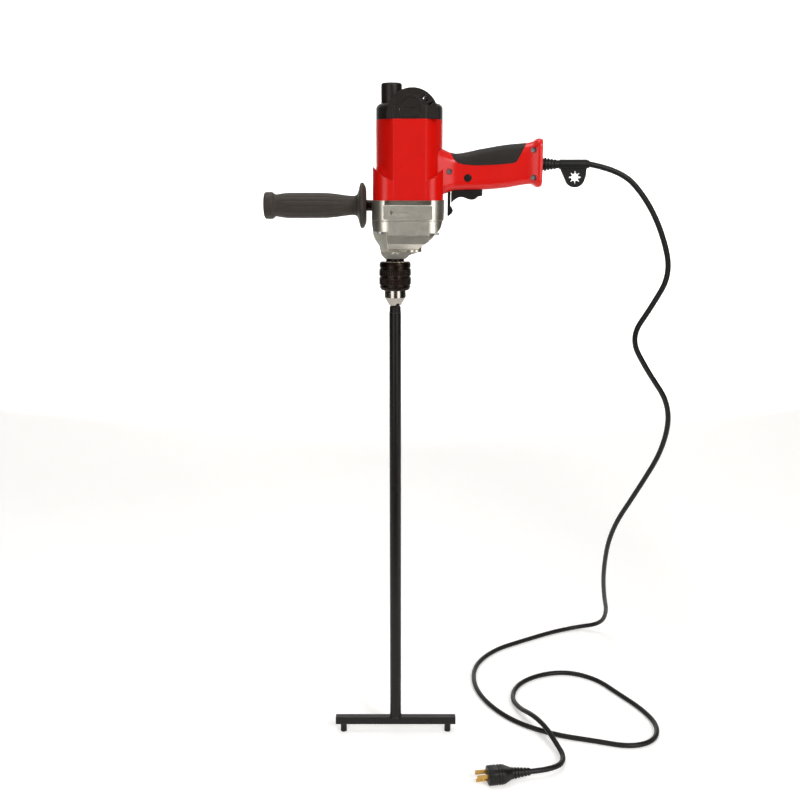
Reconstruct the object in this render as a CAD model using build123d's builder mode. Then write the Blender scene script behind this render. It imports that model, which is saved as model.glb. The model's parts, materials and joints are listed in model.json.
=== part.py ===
"""Corded mixing drill: vertical motor, spade handle, side handle, keyed chuck and a two-peg driver."""

from build123d import *
import math
import os

os.makedirs("parts", exist_ok=True)

# Frame: +Z up the spindle, +X towards the main handle, -Y the front.
# The origin is on the spindle axis, level with the tips of the driver's pegs.

# ---------------------------------------------------------------- driving dimensions (mm)
# Axes and gear train
motor_x = 20.0                # armature axis, measured from the spindle axis
fast_module = 0.8             # first gear stage
pinion_teeth = 6
wheel_teeth = 39
slow_module = 1.5             # second gear stage
slow_pinion_teeth = 9
spindle_gear_teeth = 33
tooth_share = 0.40            # tooth thickness as a share of the pitch, which leaves backlash
addendum = 0.70               # tooth height above the pitch circle, in modules
dedendum = 1.05               # tooth depth below the pitch circle, in modules

# Clearances
running = 0.05                # radial clearance of a shaft in its bearing or bore
gap = 0.3                     # clearance between parts that move past each other
seat = 0.1                    # clearance of a piece that is pushed into its seat

# Driver
peg_radius = 5.0
peg_length = 13.5
peg_spacing = 166.0
crossbar_length = 191.0
crossbar_section = 12.0
tube_radius = 8.7
tube_wall = 2.0
tube_top_z = 673.5
shank_radius = 6.0
shank_collar_radius = 8.2
shank_collar_top_z = 683.5
shank_top_z = 717.0

# Chuck
nose_z = 684.5
nose_tip_radius = 8.7
nose_cone_top_z = 695.9
nose_radius = 15.5
sleeve_bottom_z = 706.5
sleeve_top_z = 747.0
sleeve_radius = 22.8
chuck_top_z = 748.0
jaw_radius = 3.6
jaw_angle = 12.0              # slope of the jaws to the spindle axis
jaw_tip_z = 689.5
jaw_top_z = 723.0
nut_bottom_z = 712.0
nut_top_z = 720.0
jaw_opening_travel = 4.8
key_hole_radius = 3.0
key_hole_z = 699.5
chuck_phase = 53.0            # turn of the first jaw from +X, in degrees
thread_radius = 6.35          # half-inch spindle nose

# Gear case and its cover
spindle_collar_top_z = 751.4
case_bottom_z = 751.7
case_top_z = 805.0
cover_top_z = 833.4
case_left = -32.4
case_right = 68.6
case_half_depth = 42.5
case_corner = 24.0

# Motor housing and cap
housing_top_z = 941.4
barrel_radius = 46.5
barrel_flat = 41.0            # half depth across the flat front and back panels
core_radius = 42.0
core_flat = 38.4
core_bottom_z = 872.0
core_length = 40.0
commutator_z = 955.0
dome_x = 23.5
dome_z = 947.0
dome_radius = 35.0
dome_half_depth = 40.0
tower_x = -4.6
tower_radius = 14.4
tower_top_z = 990.6
cap_wall = 2.8

# Main handle
handle_end = 203.5
handle_wall = 3.0
insert_skin = 2.0
boot_z = 882.0

# Side handle
side_handle_z = 825.5
side_stud_radius = 6.0
side_boss_end = -17.0

# Cord and plug
cord_radius = 4.0
boot_end_x = 272.0

pieces = {}

FROM_BASE = (Align.CENTER, Align.CENTER, Align.MIN)
FROM_TOP = (Align.CENTER, Align.CENTER, Align.MAX)

# ---------------------------------------------------------------- derived axes
fast_distance = fast_module * (pinion_teeth + wheel_teeth) / 2
slow_distance = slow_module * (slow_pinion_teeth + spindle_gear_teeth) / 2
inter_x = (slow_distance**2 - fast_distance**2 + motor_x**2) / (2 * motor_x)
inter_y = -math.sqrt(slow_distance**2 - inter_x**2)


# ---------------------------------------------------------------- shared shapes
def gear_outline(teeth, module, phase=0.0):
    """Sketch of a spur gear centred on its axis, with tapered teeth; phase in degrees."""
    pitch_radius = module * teeth / 2
    root_radius = pitch_radius - dedendum * module
    tip_radius = pitch_radius + addendum * module
    half_pitch_width = math.pi * module * tooth_share / 2
    tip_half = half_pitch_width - addendum * module * 0.40
    root_half = half_pitch_width + dedendum * module * 0.40
    with BuildSketch(mode=Mode.PRIVATE) as outline:
        Circle(root_radius)
        with PolarLocations(0, teeth, start_angle=phase):
            with Locations((root_radius - 0.3, 0)):
                Polygon(
                    (0, -root_half),
                    (tip_radius - root_radius + 0.3, -tip_half),
                    (tip_radius - root_radius + 0.3, tip_half),
                    (0, root_half),
                    align=None,
                )
    return outline.sketch


def ball_bearing(inner, outer, height):
    """A sealed ball bearing with its shield lips, as one closed ring."""
    lip = 0.4
    with BuildPart() as body:
        Cylinder(outer, height, align=FROM_BASE)
        Cylinder(inner, height, align=FROM_BASE, mode=Mode.SUBTRACT)
        for level in (0, height - lip):
            with BuildSketch(Plane.XY.offset(level)):
                Circle(outer - (outer - inner) * 0.25)
                Circle(inner + (outer - inner) * 0.25, mode=Mode.SUBTRACT)
            extrude(amount=lip, mode=Mode.SUBTRACT)
    return body.part


def coil_spring(radius, wire, height, turns):
    """A closed-end compression spring along +Z from the origin."""
    with BuildPart() as body:
        with BuildLine() as path:
            Helix(pitch=height / turns, height=height, radius=radius)
        with BuildSketch(path.line ^ 0):
            Circle(wire)
        sweep()
    return body.part


def barrel_plan(level, radius, flat):
    """Plan of the motor barrel: a circle with flat front and back."""
    with BuildSketch(Plane.XY.offset(level)) as plan:
        with Locations((motor_x, 0)):
            Circle(radius)
            Rectangle(2 * radius, 2 * flat, mode=Mode.INTERSECT)
    return plan.sketch


def case_plan(level, inset):
    """Plan of the gear case and of the housing skirt: a rectangle with large round corners."""
    middle = (case_left + case_right) / 2
    with BuildSketch(Plane.XY.offset(level)) as plan:
        with Locations((middle, 0)):
            RectangleRounded(
                case_right - case_left - 2 * inset,
                2 * (case_half_depth - inset),
                case_corner - inset,
            )
    return plan.sketch


# ================================================================ driver
# The pegs drive the work; they are press-fitted in the crossbar's underside.
with BuildPart() as driver_pegs:
    for side in (-1, 1):
        with Locations((side * peg_spacing / 2, 0, 0)):
            Cylinder(peg_radius, peg_length, align=FROM_BASE)
pieces["driver_pegs"] = driver_pegs

crossbar_top_z = peg_length + crossbar_section
with BuildPart() as driver_crossbar:
    with Locations((0, 0, peg_length)):
        Box(crossbar_length, crossbar_section, crossbar_section, align=FROM_BASE)
    fillet(driver_crossbar.edges().filter_by(Axis.X), 1.2)
    chamfer(driver_crossbar.edges().group_by(Axis.X)[0], 0.6)
    chamfer(driver_crossbar.edges().group_by(Axis.X)[-1], 0.6)
pieces["driver_crossbar"] = driver_crossbar

with BuildPart() as driver_tube:
    with BuildSketch(Plane.XY.offset(crossbar_top_z)):
        Circle(tube_radius)
        Circle(tube_radius - tube_wall, mode=Mode.SUBTRACT)
    extrude(amount=tube_top_z - crossbar_top_z)
pieces["driver_tube"] = driver_tube

# Fillet welds: one round the tube on the crossbar's top, one round the shank's collar.
weld_size = 2.6
with BuildPart() as driver_welds:
    with BuildSketch(Plane.XZ):
        with BuildLine():
            Polyline(
                (tube_radius, crossbar_top_z),
                (tube_radius + 0.3 * weld_size, crossbar_top_z + weld_size),
                (tube_radius, crossbar_top_z + 1.3 * weld_size),
                close=True,
            )
        make_face()
    revolve(axis=Axis.Z)
    with BuildSketch(Plane.XZ):
        with BuildLine():
            RadiusArc(
                (shank_collar_radius, tube_top_z + 1.8),
                (shank_collar_radius, tube_top_z),
                1.1,
            )
            Line((shank_collar_radius, tube_top_z), (shank_collar_radius, tube_top_z + 1.8))
        make_face()
    revolve(axis=Axis.Z)
pieces["driver_welds"] = driver_welds

with BuildPart() as driver_shank:
    with BuildSketch(Plane.XZ):
        with BuildLine():
            Polyline(
                (0, tube_top_z - 14),
                (tube_radius - tube_wall, tube_top_z - 14),
                (tube_radius - tube_wall, tube_top_z),
                (shank_collar_radius, tube_top_z),
                (shank_collar_radius, shank_collar_top_z - 1.5),
                (shank_collar_radius - 1.5, shank_collar_top_z),
                (shank_radius, shank_collar_top_z),
                (shank_radius, shank_top_z - 1),
                (shank_radius - 1, shank_top_z),
                (0, shank_top_z),
                close=True,
            )
        make_face()
    revolve(axis=Axis.Z)
pieces["driver_shank"] = driver_shank

# ================================================================ chuck
jaw_slope = math.tan(math.radians(jaw_angle))
jaw_reach = jaw_radius / math.cos(math.radians(jaw_angle))
jaw_axis_radius = shank_radius + 1.2
jaw_pitch = 120.0
body_radius = sleeve_radius - 2.4
front_radius = body_radius - 3.7
bore_radius = shank_radius + 0.6
web_bottom_z = 722.5
web_top_z = 727.0


def jaw_outer(level):
    """Radius of a jaw's outer line at a height."""
    return jaw_axis_radius + (level - jaw_tip_z) * jaw_slope + jaw_reach


def jaw_cylinder(azimuth, radius, low_z, high_z):
    """A round bar along a jaw's sloping axis, made long and cut off flat at two heights."""
    direction = Vector(jaw_slope, 0, 1).rotate(Axis.Z, azimuth)
    start = Vector(jaw_axis_radius, 0, jaw_tip_z).rotate(Axis.Z, azimuth) - direction * 12
    length = (high_z - low_z + 24) * math.hypot(1, jaw_slope)
    bar = Plane(origin=start, z_dir=direction) * Cylinder(
        radius, length, align=FROM_BASE
    )
    span = Pos(0, 0, (low_z + high_z) / 2) * Box(90, 90, high_z - low_z)
    return bar & span


jaw_bores = [
    jaw_cylinder(
        chuck_phase + turn * jaw_pitch, jaw_radius + 0.08, nose_z - 2, jaw_top_z + jaw_opening_travel + 2
    )
    for turn in range(3)
]
with BuildPart() as chuck_body:
    with BuildSketch(Plane.XZ):
        with BuildLine():
            Polyline(
                (bore_radius, nose_z),
                (nose_tip_radius, nose_z),
                (nose_radius, nose_cone_top_z),
                (nose_radius, sleeve_bottom_z - 0.2),
                (front_radius, sleeve_bottom_z + 1.5),
                (front_radius, nut_bottom_z - gap),
                (jaw_outer(nut_bottom_z) - 0.2, nut_bottom_z - gap),
                (jaw_outer(nut_top_z) - 0.2, nut_top_z + gap),
                (body_radius, nut_top_z + gap),
                (body_radius, chuck_top_z - 1),
                (body_radius - 1, chuck_top_z),
                (thread_radius, chuck_top_z),
                (thread_radius, web_top_z),
                (3.1, web_top_z),
                (3.1, web_bottom_z),
                (bore_radius, web_bottom_z),
                close=True,
            )
        make_face()
    revolve(axis=Axis.Z)
    for bore in jaw_bores:
        add(bore, mode=Mode.SUBTRACT)
    # Pilot holes for the key, between the jaws.
    with Locations((0, 0, key_hole_z)):
        with PolarLocations(nose_radius - 5, 3, start_angle=chuck_phase + jaw_pitch / 2):
            Cylinder(key_hole_radius, 12, rotation=(0, 90, 0), align=FROM_BASE, mode=Mode.SUBTRACT)
pieces["chuck_body"] = chuck_body

for turn in range(3):
    jaw_bar = jaw_cylinder(chuck_phase + turn * jaw_pitch, jaw_radius, jaw_tip_z, jaw_top_z)
    with BuildPart() as chuck_jaw:
        add(jaw_bar)
        with Locations((0, 0, jaw_tip_z - 10)):
            Cylinder(shank_radius, 80, align=FROM_BASE, mode=Mode.SUBTRACT)
    pieces[f"chuck_jaw_{turn + 1}"] = chuck_jaw

with BuildPart() as chuck_nut:
    with BuildSketch(Plane.XZ):
        with BuildLine():
            Polyline(
                (jaw_outer(nut_bottom_z) + gap, nut_bottom_z),
                (body_radius + seat, nut_bottom_z),
                (body_radius + seat, nut_top_z),
                (jaw_outer(nut_top_z) + gap, nut_top_z),
                close=True,
            )
        make_face()
    revolve(axis=Axis.Z)
pieces["chuck_nut"] = chuck_nut

sleeve_bore = body_radius + seat
with BuildPart() as chuck_sleeve:
    with BuildSketch(Plane.XZ):
        with BuildLine():
            Polyline(
                (front_radius + seat, sleeve_bottom_z + 1.9),
                (front_radius + 0.4, sleeve_bottom_z),
                (sleeve_radius - 2.2, sleeve_bottom_z),
                (sleeve_radius, sleeve_bottom_z + 3.6),
                (sleeve_radius, sleeve_top_z - 1),
                (sleeve_radius - 1, sleeve_top_z),
                (sleeve_bore, sleeve_top_z),
                (sleeve_bore, nut_bottom_z - 0.1),
                (front_radius + seat, nut_bottom_z - 0.1),
                close=True,
            )
        make_face()
    revolve(axis=Axis.Z)
    # Key teeth round the nose end.
    with BuildSketch(Plane.XY.offset(sleeve_bottom_z)):
        with PolarLocations(sleeve_radius - 0.8, 30):
            Rectangle(4.0, 2.0)
    extrude(amount=3.0, mode=Mode.SUBTRACT)
    # Two grip bands of flutes.
    for band_z, band_height in ((sleeve_bottom_z + 6.5, 12.0), (sleeve_bottom_z + 22.5, 13.0)):
        with BuildSketch(Plane.XY.offset(band_z)):
            with PolarLocations(sleeve_radius + 0.25, 36):
                Circle(0.9)
        extrude(amount=band_height, mode=Mode.SUBTRACT)
pieces["chuck_sleeve"] = chuck_sleeve

with BuildPart() as chuck_screw:
    with Locations((0, 0, web_bottom_z)):
        Cylinder(4.9, 3.4, align=FROM_TOP)
        Cylinder(3.0, 20, align=FROM_BASE)
    with BuildSketch(Plane.XY.offset(web_bottom_z - 3.4)):
        RegularPolygon(2.2, 6)
    extrude(amount=2.2, mode=Mode.SUBTRACT)
pieces["chuck_screw"] = chuck_screw

# ================================================================ spindle, gears and bearings
spindle_bearing_z = 761.0
spindle_bearing_inner = 7.5
spindle_bearing_outer = 14.0
spindle_bearing_height = 7.0
spindle_gear_z = 778.0
spindle_gear_height = 12.0
spindle_top_bearing_z = 797.5
spindle_top_bearing_height = 8.0
spindle_top_radius = 5.0
spindle_top_bearing_outer = 9.5
slow_tip = slow_module * (spindle_gear_teeth / 2 + addendum)
wheel_z = 792.8
wheel_height = 7.0
cover_plate_z = 811.0

with BuildPart() as spindle:
    with BuildSketch(Plane.XZ):
        with BuildLine():
            Polyline(
                (0, web_top_z + 0.3),
                (thread_radius - running, web_top_z + 0.3),
                (thread_radius - running, chuck_top_z),
                (13, chuck_top_z),
                (13, spindle_collar_top_z),
                (spindle_bearing_inner - running, spindle_collar_top_z),
                (spindle_bearing_inner - running, spindle_bearing_z + spindle_bearing_height + 0.2),
                (9.2, spindle_bearing_z + spindle_bearing_height + 0.2),
                (9.2, spindle_gear_z),
                (8, spindle_gear_z),
                (8, spindle_gear_z + spindle_gear_height),
                (7.2, spindle_gear_z + spindle_gear_height + 1),
                (7.2, spindle_top_bearing_z - 0.4),
                (spindle_top_radius - running, spindle_top_bearing_z - 0.4),
                (spindle_top_radius - running, spindle_top_bearing_z + spindle_top_bearing_height),
                (0, spindle_top_bearing_z + spindle_top_bearing_height),
                close=True,
            )
        make_face()
    revolve(axis=Axis.Z)
    with Locations((0, 0, web_top_z)):
        Cylinder(3.0, 16, align=FROM_BASE, mode=Mode.SUBTRACT)
pieces["spindle"] = spindle

mesh_angle = math.degrees(math.atan2(inter_y, inter_x))
spindle_gear_outline = gear_outline(spindle_gear_teeth, slow_module, mesh_angle)
with BuildPart() as spindle_gear:
    with BuildSketch(Plane.XY.offset(spindle_gear_z)):
        add(spindle_gear_outline)
        Circle(8, mode=Mode.SUBTRACT)
    extrude(amount=spindle_gear_height)
pieces["spindle_gear"] = spindle_gear

lower_ring = ball_bearing(spindle_bearing_inner, spindle_bearing_outer, spindle_bearing_height)
upper_ring = ball_bearing(spindle_top_radius, spindle_top_bearing_outer, spindle_top_bearing_height)
with BuildPart() as spindle_bearings:
    add(Pos(0, 0, spindle_bearing_z) * lower_ring)
    add(Pos(0, 0, spindle_top_bearing_z) * upper_ring)
pieces["spindle_bearings"] = spindle_bearings

with BuildPart() as spindle_retaining_ring:
    with Locations((0, 0, spindle_gear_z + spindle_gear_height + 1.2)):
        Cylinder(9.6, 1.2, align=FROM_BASE)
        Cylinder(7.25, 1.2, align=FROM_BASE, mode=Mode.SUBTRACT)
pieces["spindle_retaining_ring"] = spindle_retaining_ring

with BuildPart() as spindle_seal:
    with BuildSketch(Plane.XZ):
        with BuildLine():
            Polyline(
                (spindle_bearing_inner + gap, 753.2),
                (11.4, 753.2),
                (11.4, 757.6),
                (spindle_bearing_inner + 1.6, 757.6),
                close=True,
            )
        make_face()
    revolve(axis=Axis.Z)
pieces["spindle_seal"] = spindle_seal

# Intermediate shaft: the fast wheel is pressed on it and the slow pinion is cut in it.
inter_bottom_z = 769.5
inter_end_radius = 4.0
inter_bearing_outer = 8.0
inter_bearing_height = 5.0
inter_top_z = cover_plate_z + inter_bearing_height
wheel_bore = 5.2
slow_mesh = mesh_angle + 180 + 180 / slow_pinion_teeth
slow_pinion_outline = gear_outline(slow_pinion_teeth, slow_module, slow_mesh)
with BuildPart() as intermediate_shaft:
    with BuildSketch(Plane.XY.offset(inter_bottom_z)):
        with Locations((inter_x, inter_y)):
            Circle(inter_end_radius - running)
    extrude(amount=inter_top_z - inter_bottom_z)
    with BuildSketch(Plane.XY.offset(spindle_gear_z - 1)):
        with Locations((inter_x, inter_y)):
            add(slow_pinion_outline)
    extrude(amount=spindle_gear_height + 2)
    with BuildSketch(Plane.XY.offset(spindle_gear_z + spindle_gear_height + 1)):
        with Locations((inter_x, inter_y)):
            Circle(wheel_bore)
    extrude(amount=wheel_z + wheel_height + 1.5 - spindle_gear_z - spindle_gear_height - 1)
pieces["intermediate_shaft"] = intermediate_shaft

fast_angle = math.degrees(math.atan2(inter_y, inter_x - motor_x))
wheel_outline = gear_outline(wheel_teeth, fast_module, fast_angle + 180 + 180 / wheel_teeth)
with BuildPart() as intermediate_gear:
    with BuildSketch(Plane.XY.offset(wheel_z)):
        with Locations((inter_x, inter_y)):
            add(wheel_outline)
            Circle(wheel_bore, mode=Mode.SUBTRACT)
    extrude(amount=wheel_height)
    with BuildSketch(Plane.XY.offset(wheel_z + wheel_height)):
        with Locations((inter_x, inter_y)):
            Circle(12.4)
            Circle(8.2, mode=Mode.SUBTRACT)
    extrude(amount=-1.6, mode=Mode.SUBTRACT)
pieces["intermediate_gear"] = intermediate_gear

inter_ring = ball_bearing(inter_end_radius, inter_bearing_outer, inter_bearing_height)
with BuildPart() as intermediate_bearings:
    for level in (inter_bottom_z, cover_plate_z):
        add(Pos(inter_x, inter_y, level) * inter_ring)
pieces["intermediate_bearings"] = intermediate_bearings

# ================================================================ gear case
# Its shape is where a front outline, a side outline and a plan meet.
def case_front(inset):
    """Front outline of the lower gear case, drawn in by a wall's thickness."""
    with BuildSketch(Plane.XZ) as front:
        with BuildLine():
            Polyline(
                (case_left + inset, case_top_z + 1),
                (case_left + 2 + inset, 786),
                (-28 + inset, 780),
                (-21.8 + inset * 0.6, 770.5 + inset * 0.5),
                (-19.5 + inset * 0.6, 758 + inset),
                (-14.6 + inset * 0.5, case_bottom_z + inset * 0.6),
                (14.6 - inset * 0.5, case_bottom_z + inset * 0.6),
                (21.5, 757.6 + inset * 1.2),
                (31.5 - inset * 0.4, 760.5 + inset),
                (33 - inset * 0.6, 767 + inset * 0.8),
                (41 - inset * 0.6, 773.6 + inset * 0.8),
                (51 - inset * 0.7, 780 + inset * 0.7),
                (63.5 - inset, 796),
                (case_right - 2.4 - inset, case_top_z + 1),
                close=True,
            )
        make_face()
    return front.sketch


def case_side(inset):
    """Side outline of the lower gear case, drawn in by a wall's thickness."""
    half = case_half_depth - inset
    with BuildSketch(Plane.YZ) as side:
        with BuildLine():
            Polyline(
                (-half, case_top_z + 1),
                (-half, 786),
                (-half + 3, 774 + inset * 0.5),
                (-30.5 + inset * 0.7, 766.5 + inset),
                (-17.5 + inset * 0.7, 762 + inset),
                (-14.6 + inset * 0.5, case_bottom_z + inset * 0.6),
                (14.6 - inset * 0.5, case_bottom_z + inset * 0.6),
                (17.5 - inset * 0.7, 762 + inset),
                (27 - inset * 0.7, 770 + inset),
                (half - 3, 778 + inset * 0.5),
                (half, 790),
                (half, case_top_z + 1),
                close=True,
            )
        make_face()
    return side.sketch


# Screw seats: pockets in the four lower corners, with the screws' heads against their roofs.
left_pocket_x = -10.0
right_pocket_x = 47.0
left_pocket_z = 791.0
right_pocket_z = 789.0
pocket_y = 25.0
case_screw_radius = 2.2
screw_head_radius = 4.0
screw_head_height = 3.0
case_screw_top_z = 850.0
left_screw_x = case_left + 11.4
right_screw_x = case_right - 11.4
case_screw_y = case_half_depth - 10.5

lower_plan = case_plan(case_bottom_z, 0)
lower_front = case_front(0)
lower_side = case_side(0)
with BuildPart() as gear_case:
    extrude(lower_plan, amount=case_top_z - case_bottom_z)
    extrude(lower_front, amount=60, both=True, mode=Mode.INTERSECT)
    extrude(lower_side, amount=120, both=True, mode=Mode.INTERSECT)
    with Locations((0, 0, case_bottom_z)):
        Cylinder(14.4, 18, align=FROM_BASE)
    with Locations((0, 0, spindle_bearing_z - 2)):
        Cylinder(17.4, 14, align=FROM_BASE)
    with Locations((inter_x, inter_y, 762)):
        Cylinder(11, 14, align=FROM_BASE)
    # Gear chamber, bearing seats and the spindle's way out.
    for side in (-1, 1):
        for pocket_x, pocket_z, align_x in (
            (left_pocket_x, left_pocket_z, Align.MAX),
            (right_pocket_x, right_pocket_z, Align.MIN),
        ):
            with Locations((pocket_x, side * (pocket_y + 20), pocket_z)):
                Box(40, 40, 60, align=(align_x, Align.CENTER, Align.MAX), mode=Mode.SUBTRACT)
        for screw_x in (left_screw_x, right_screw_x):
            with Locations((screw_x, side * case_screw_y, case_top_z)):
                Cylinder(case_screw_radius + seat, 30, align=FROM_TOP, mode=Mode.SUBTRACT)
    with BuildSketch(Plane.XY.offset(spindle_gear_z - 2.2)):
        Circle(slow_tip + 1.2)
        with Locations((inter_x, inter_y)):
            Circle(slow_module * (slow_pinion_teeth / 2 + addendum) + 2)
    extrude(amount=case_top_z - spindle_gear_z + 2.2, mode=Mode.SUBTRACT)
    with BuildSketch(Plane.XY.offset(wheel_z - 1)):
        with Locations((inter_x, inter_y)):
            Circle(fast_module * (wheel_teeth / 2 + addendum) + 1.6)
        with Locations((motor_x, 0)):
            Circle(9)
    extrude(amount=case_top_z - wheel_z + 1, mode=Mode.SUBTRACT)
    with Locations((0, 0, spindle_bearing_z)):
        Cylinder(spindle_bearing_outer + running, 20, align=FROM_BASE, mode=Mode.SUBTRACT)
    with Locations((0, 0, case_bottom_z)):
        Cylinder(spindle_bearing_inner + 1.2, 20, align=FROM_BASE, mode=Mode.SUBTRACT)
    with Locations((0, 0, 753.2)):
        Cylinder(11.4, 4.4, align=FROM_BASE, mode=Mode.SUBTRACT)
    with Locations((inter_x, inter_y, inter_bottom_z - 0.3)):
        Cylinder(inter_bearing_outer + running, 20, align=FROM_BASE, mode=Mode.SUBTRACT)
pieces["gear_case"] = gear_case

# Cover: the plate between gears and motor, with the air outlet slot front and back.
slot_left = -14.3
slot_right = 49.9
slot_bottom_z = 827.3
chamber_z = 824.0
lower_bearing_z = 816.5
armature_bearing_outer = 11.0
armature_bearing_height = 7.0
cover_plan = case_plan(case_top_z, 0)
chamber_plan = case_plan(chamber_z, 4.2)
joint_groove = extrude(cover_plan, amount=1.1) - extrude(case_plan(case_top_z, 0.9), amount=1.1)
with BuildPart() as gear_case_cover:
    extrude(cover_plan, amount=cover_top_z - case_top_z)
    # Raised front and back panels between the rounded corners.
    for face in (-1, 1):
        with Locations(((slot_left + slot_right) / 2, face * (case_half_depth + 0.6), 817.4)):
            Box(slot_right - slot_left + 3, 1.2, 18.6)
    # Air chamber under the fan.
    extrude(chamber_plan, amount=cover_top_z - chamber_z, mode=Mode.SUBTRACT)
    with Locations(((slot_left + slot_right) / 2, 0, slot_bottom_z)):
        Box(
            slot_right - slot_left,
            2 * case_half_depth + 8,
            cover_top_z - slot_bottom_z,
            align=FROM_BASE,
            mode=Mode.SUBTRACT,
        )
    # Air baffles across the chamber.
    for side in (-1, 1):
        with Locations(((slot_left + slot_right) / 2, side * 17.0, chamber_z - 0.5)):
            Box(slot_right - slot_left + 4, 2.4, cover_top_z - chamber_z + 0.5, align=FROM_BASE)
    # Columns for the screws, the upper spindle bearing's boss and the side handle's thread boss.
    for side in (-1, 1):
        for screw_x in (left_screw_x, right_screw_x):
            with Locations((screw_x, side * case_screw_y, case_top_z)):
                Cylinder(4.6, cover_top_z - case_top_z, align=FROM_BASE)
                Cylinder(
                    case_screw_radius + seat,
                    cover_top_z - case_top_z,
                    align=FROM_BASE,
                    mode=Mode.SUBTRACT,
                )
    with Locations((0, 0, spindle_top_bearing_z)):
        Cylinder(
            spindle_top_bearing_outer + 2.8,
            case_top_z - spindle_top_bearing_z,
            align=FROM_BASE,
        )
    with Locations((case_left + 3, 0, chamber_z - 2)):
        Box(side_boss_end - case_left - 3, 22, cover_top_z - chamber_z + 2, align=(Align.MIN, Align.CENTER, Align.MIN))
    with BuildSketch(Plane.XY.offset(case_top_z)):
        with Locations((inter_x, inter_y)):
            Circle(fast_module * (wheel_teeth / 2 + addendum) + 1.6)
        with Locations((motor_x, 0)):
            Circle(9)
    extrude(amount=1.2, mode=Mode.SUBTRACT)
    with Locations((motor_x, 0, lower_bearing_z)):
        Cylinder(armature_bearing_outer + running, 30, align=FROM_BASE, mode=Mode.SUBTRACT)
    with Locations((motor_x, 0, case_top_z)):
        Cylinder(7.4, 20, align=FROM_BASE, mode=Mode.SUBTRACT)
    with Locations((inter_x, inter_y, case_top_z)):
        Cylinder(
            inter_bearing_outer + running,
            cover_plate_z + inter_bearing_height + 0.3 - case_top_z,
            align=FROM_BASE,
            mode=Mode.SUBTRACT,
        )
    with Locations((0, 0, spindle_top_bearing_z)):
        Cylinder(
            spindle_top_bearing_outer + running,
            spindle_top_bearing_height + 0.4,
            align=FROM_BASE,
            mode=Mode.SUBTRACT,
        )
    with Locations(Location((case_left - 1, 0, side_handle_z), (0, 90, 0))):
        Cylinder(
            side_stud_radius + running,
            side_boss_end - case_left - 2,
            align=FROM_BASE,
            mode=Mode.SUBTRACT,
        )
    # Dowel hole in the front panel.
    with Locations(Location((-4.4, -case_half_depth - 2, 817.5), (-90, 0, 0))):
        Cylinder(2.9, 7, align=FROM_BASE, mode=Mode.SUBTRACT)
    # Shadow groove along the joint with the case.
    add(joint_groove, mode=Mode.SUBTRACT)
pieces["gear_case_cover"] = gear_case_cover

with BuildPart() as gear_case_screws:
    for screw_x, pocket_z in ((left_screw_x, left_pocket_z), (right_screw_x, right_pocket_z)):
        with Locations((screw_x, -case_screw_y, pocket_z), (screw_x, case_screw_y, pocket_z)):
            Cylinder(screw_head_radius, screw_head_height, align=FROM_TOP)
            Cylinder(case_screw_radius, case_screw_top_z - pocket_z, align=FROM_BASE)
        with BuildSketch(Plane.XY.offset(pocket_z - screw_head_height)):
            with Locations((screw_x, -case_screw_y), (screw_x, case_screw_y)):
                RegularPolygon(2.3, 6)
        extrude(amount=1.8, mode=Mode.SUBTRACT)
pieces["gear_case_screws"] = gear_case_screws

# ================================================================ motor housing
skirt_inset = 1.6
skirt_scoop_z = 920.3         # the skirt's upper edge is a round scoop about this height
skirt_scoop_radius = 65.3
cap_screw_x = 32.5            # cap screws, from the armature axis
cap_screw_y = 21.0
cap_screw_radius = 1.75
wire_hole_z = 858.0
housing_skirt = case_plan(cover_top_z, skirt_inset)
housing_barrel = barrel_plan(cover_top_z, barrel_radius, barrel_flat)
housing_bore = barrel_plan(cover_top_z, core_radius + seat, core_flat + seat)
with BuildPart() as motor_housing:
    extrude(housing_skirt, amount=56)
    with Locations((motor_x, 0, skirt_scoop_z)):
        Cylinder(skirt_scoop_radius, 2 * case_half_depth + 4, rotation=(90, 0, 0), mode=Mode.SUBTRACT)
    extrude(housing_barrel, amount=housing_top_z - cover_top_z)
    extrude(housing_bore, amount=housing_top_z - cover_top_z, mode=Mode.SUBTRACT)
    # Columns for the cap's screws.
    with BuildSketch(Plane.XY.offset(housing_top_z)):
        with Locations((motor_x, 0)):
            with Locations(*[(i * cap_screw_x, j * cap_screw_y) for i in (-1, 1) for j in (-1, 1)]):
                Circle(4.6)
                Circle(cap_screw_radius + seat, mode=Mode.SUBTRACT)
    extrude(amount=-26)
    with BuildSketch(Plane.XY.offset(housing_top_z)):
        with Locations((motor_x, 0)):
            with Locations(*[(i * cap_screw_x, j * cap_screw_y) for i in (-1, 1) for j in (-1, 1)]):
                Circle(cap_screw_radius + seat)
    extrude(amount=-24, mode=Mode.SUBTRACT)
    for side in (-1, 1):
        for screw_x in (left_screw_x, right_screw_x):
            with Locations((screw_x, side * case_screw_y, cover_top_z)):
                Cylinder(
                    case_screw_radius + seat,
                    case_screw_top_z - cover_top_z + 1,
                    align=FROM_BASE,
                    mode=Mode.SUBTRACT,
                )
    # Way through for the motor leads, behind the handle.
    with Locations((motor_x + barrel_radius, 0, wire_hole_z)):
        Box(16, 16, 7, mode=Mode.SUBTRACT)
pieces["motor_housing"] = motor_housing

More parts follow.
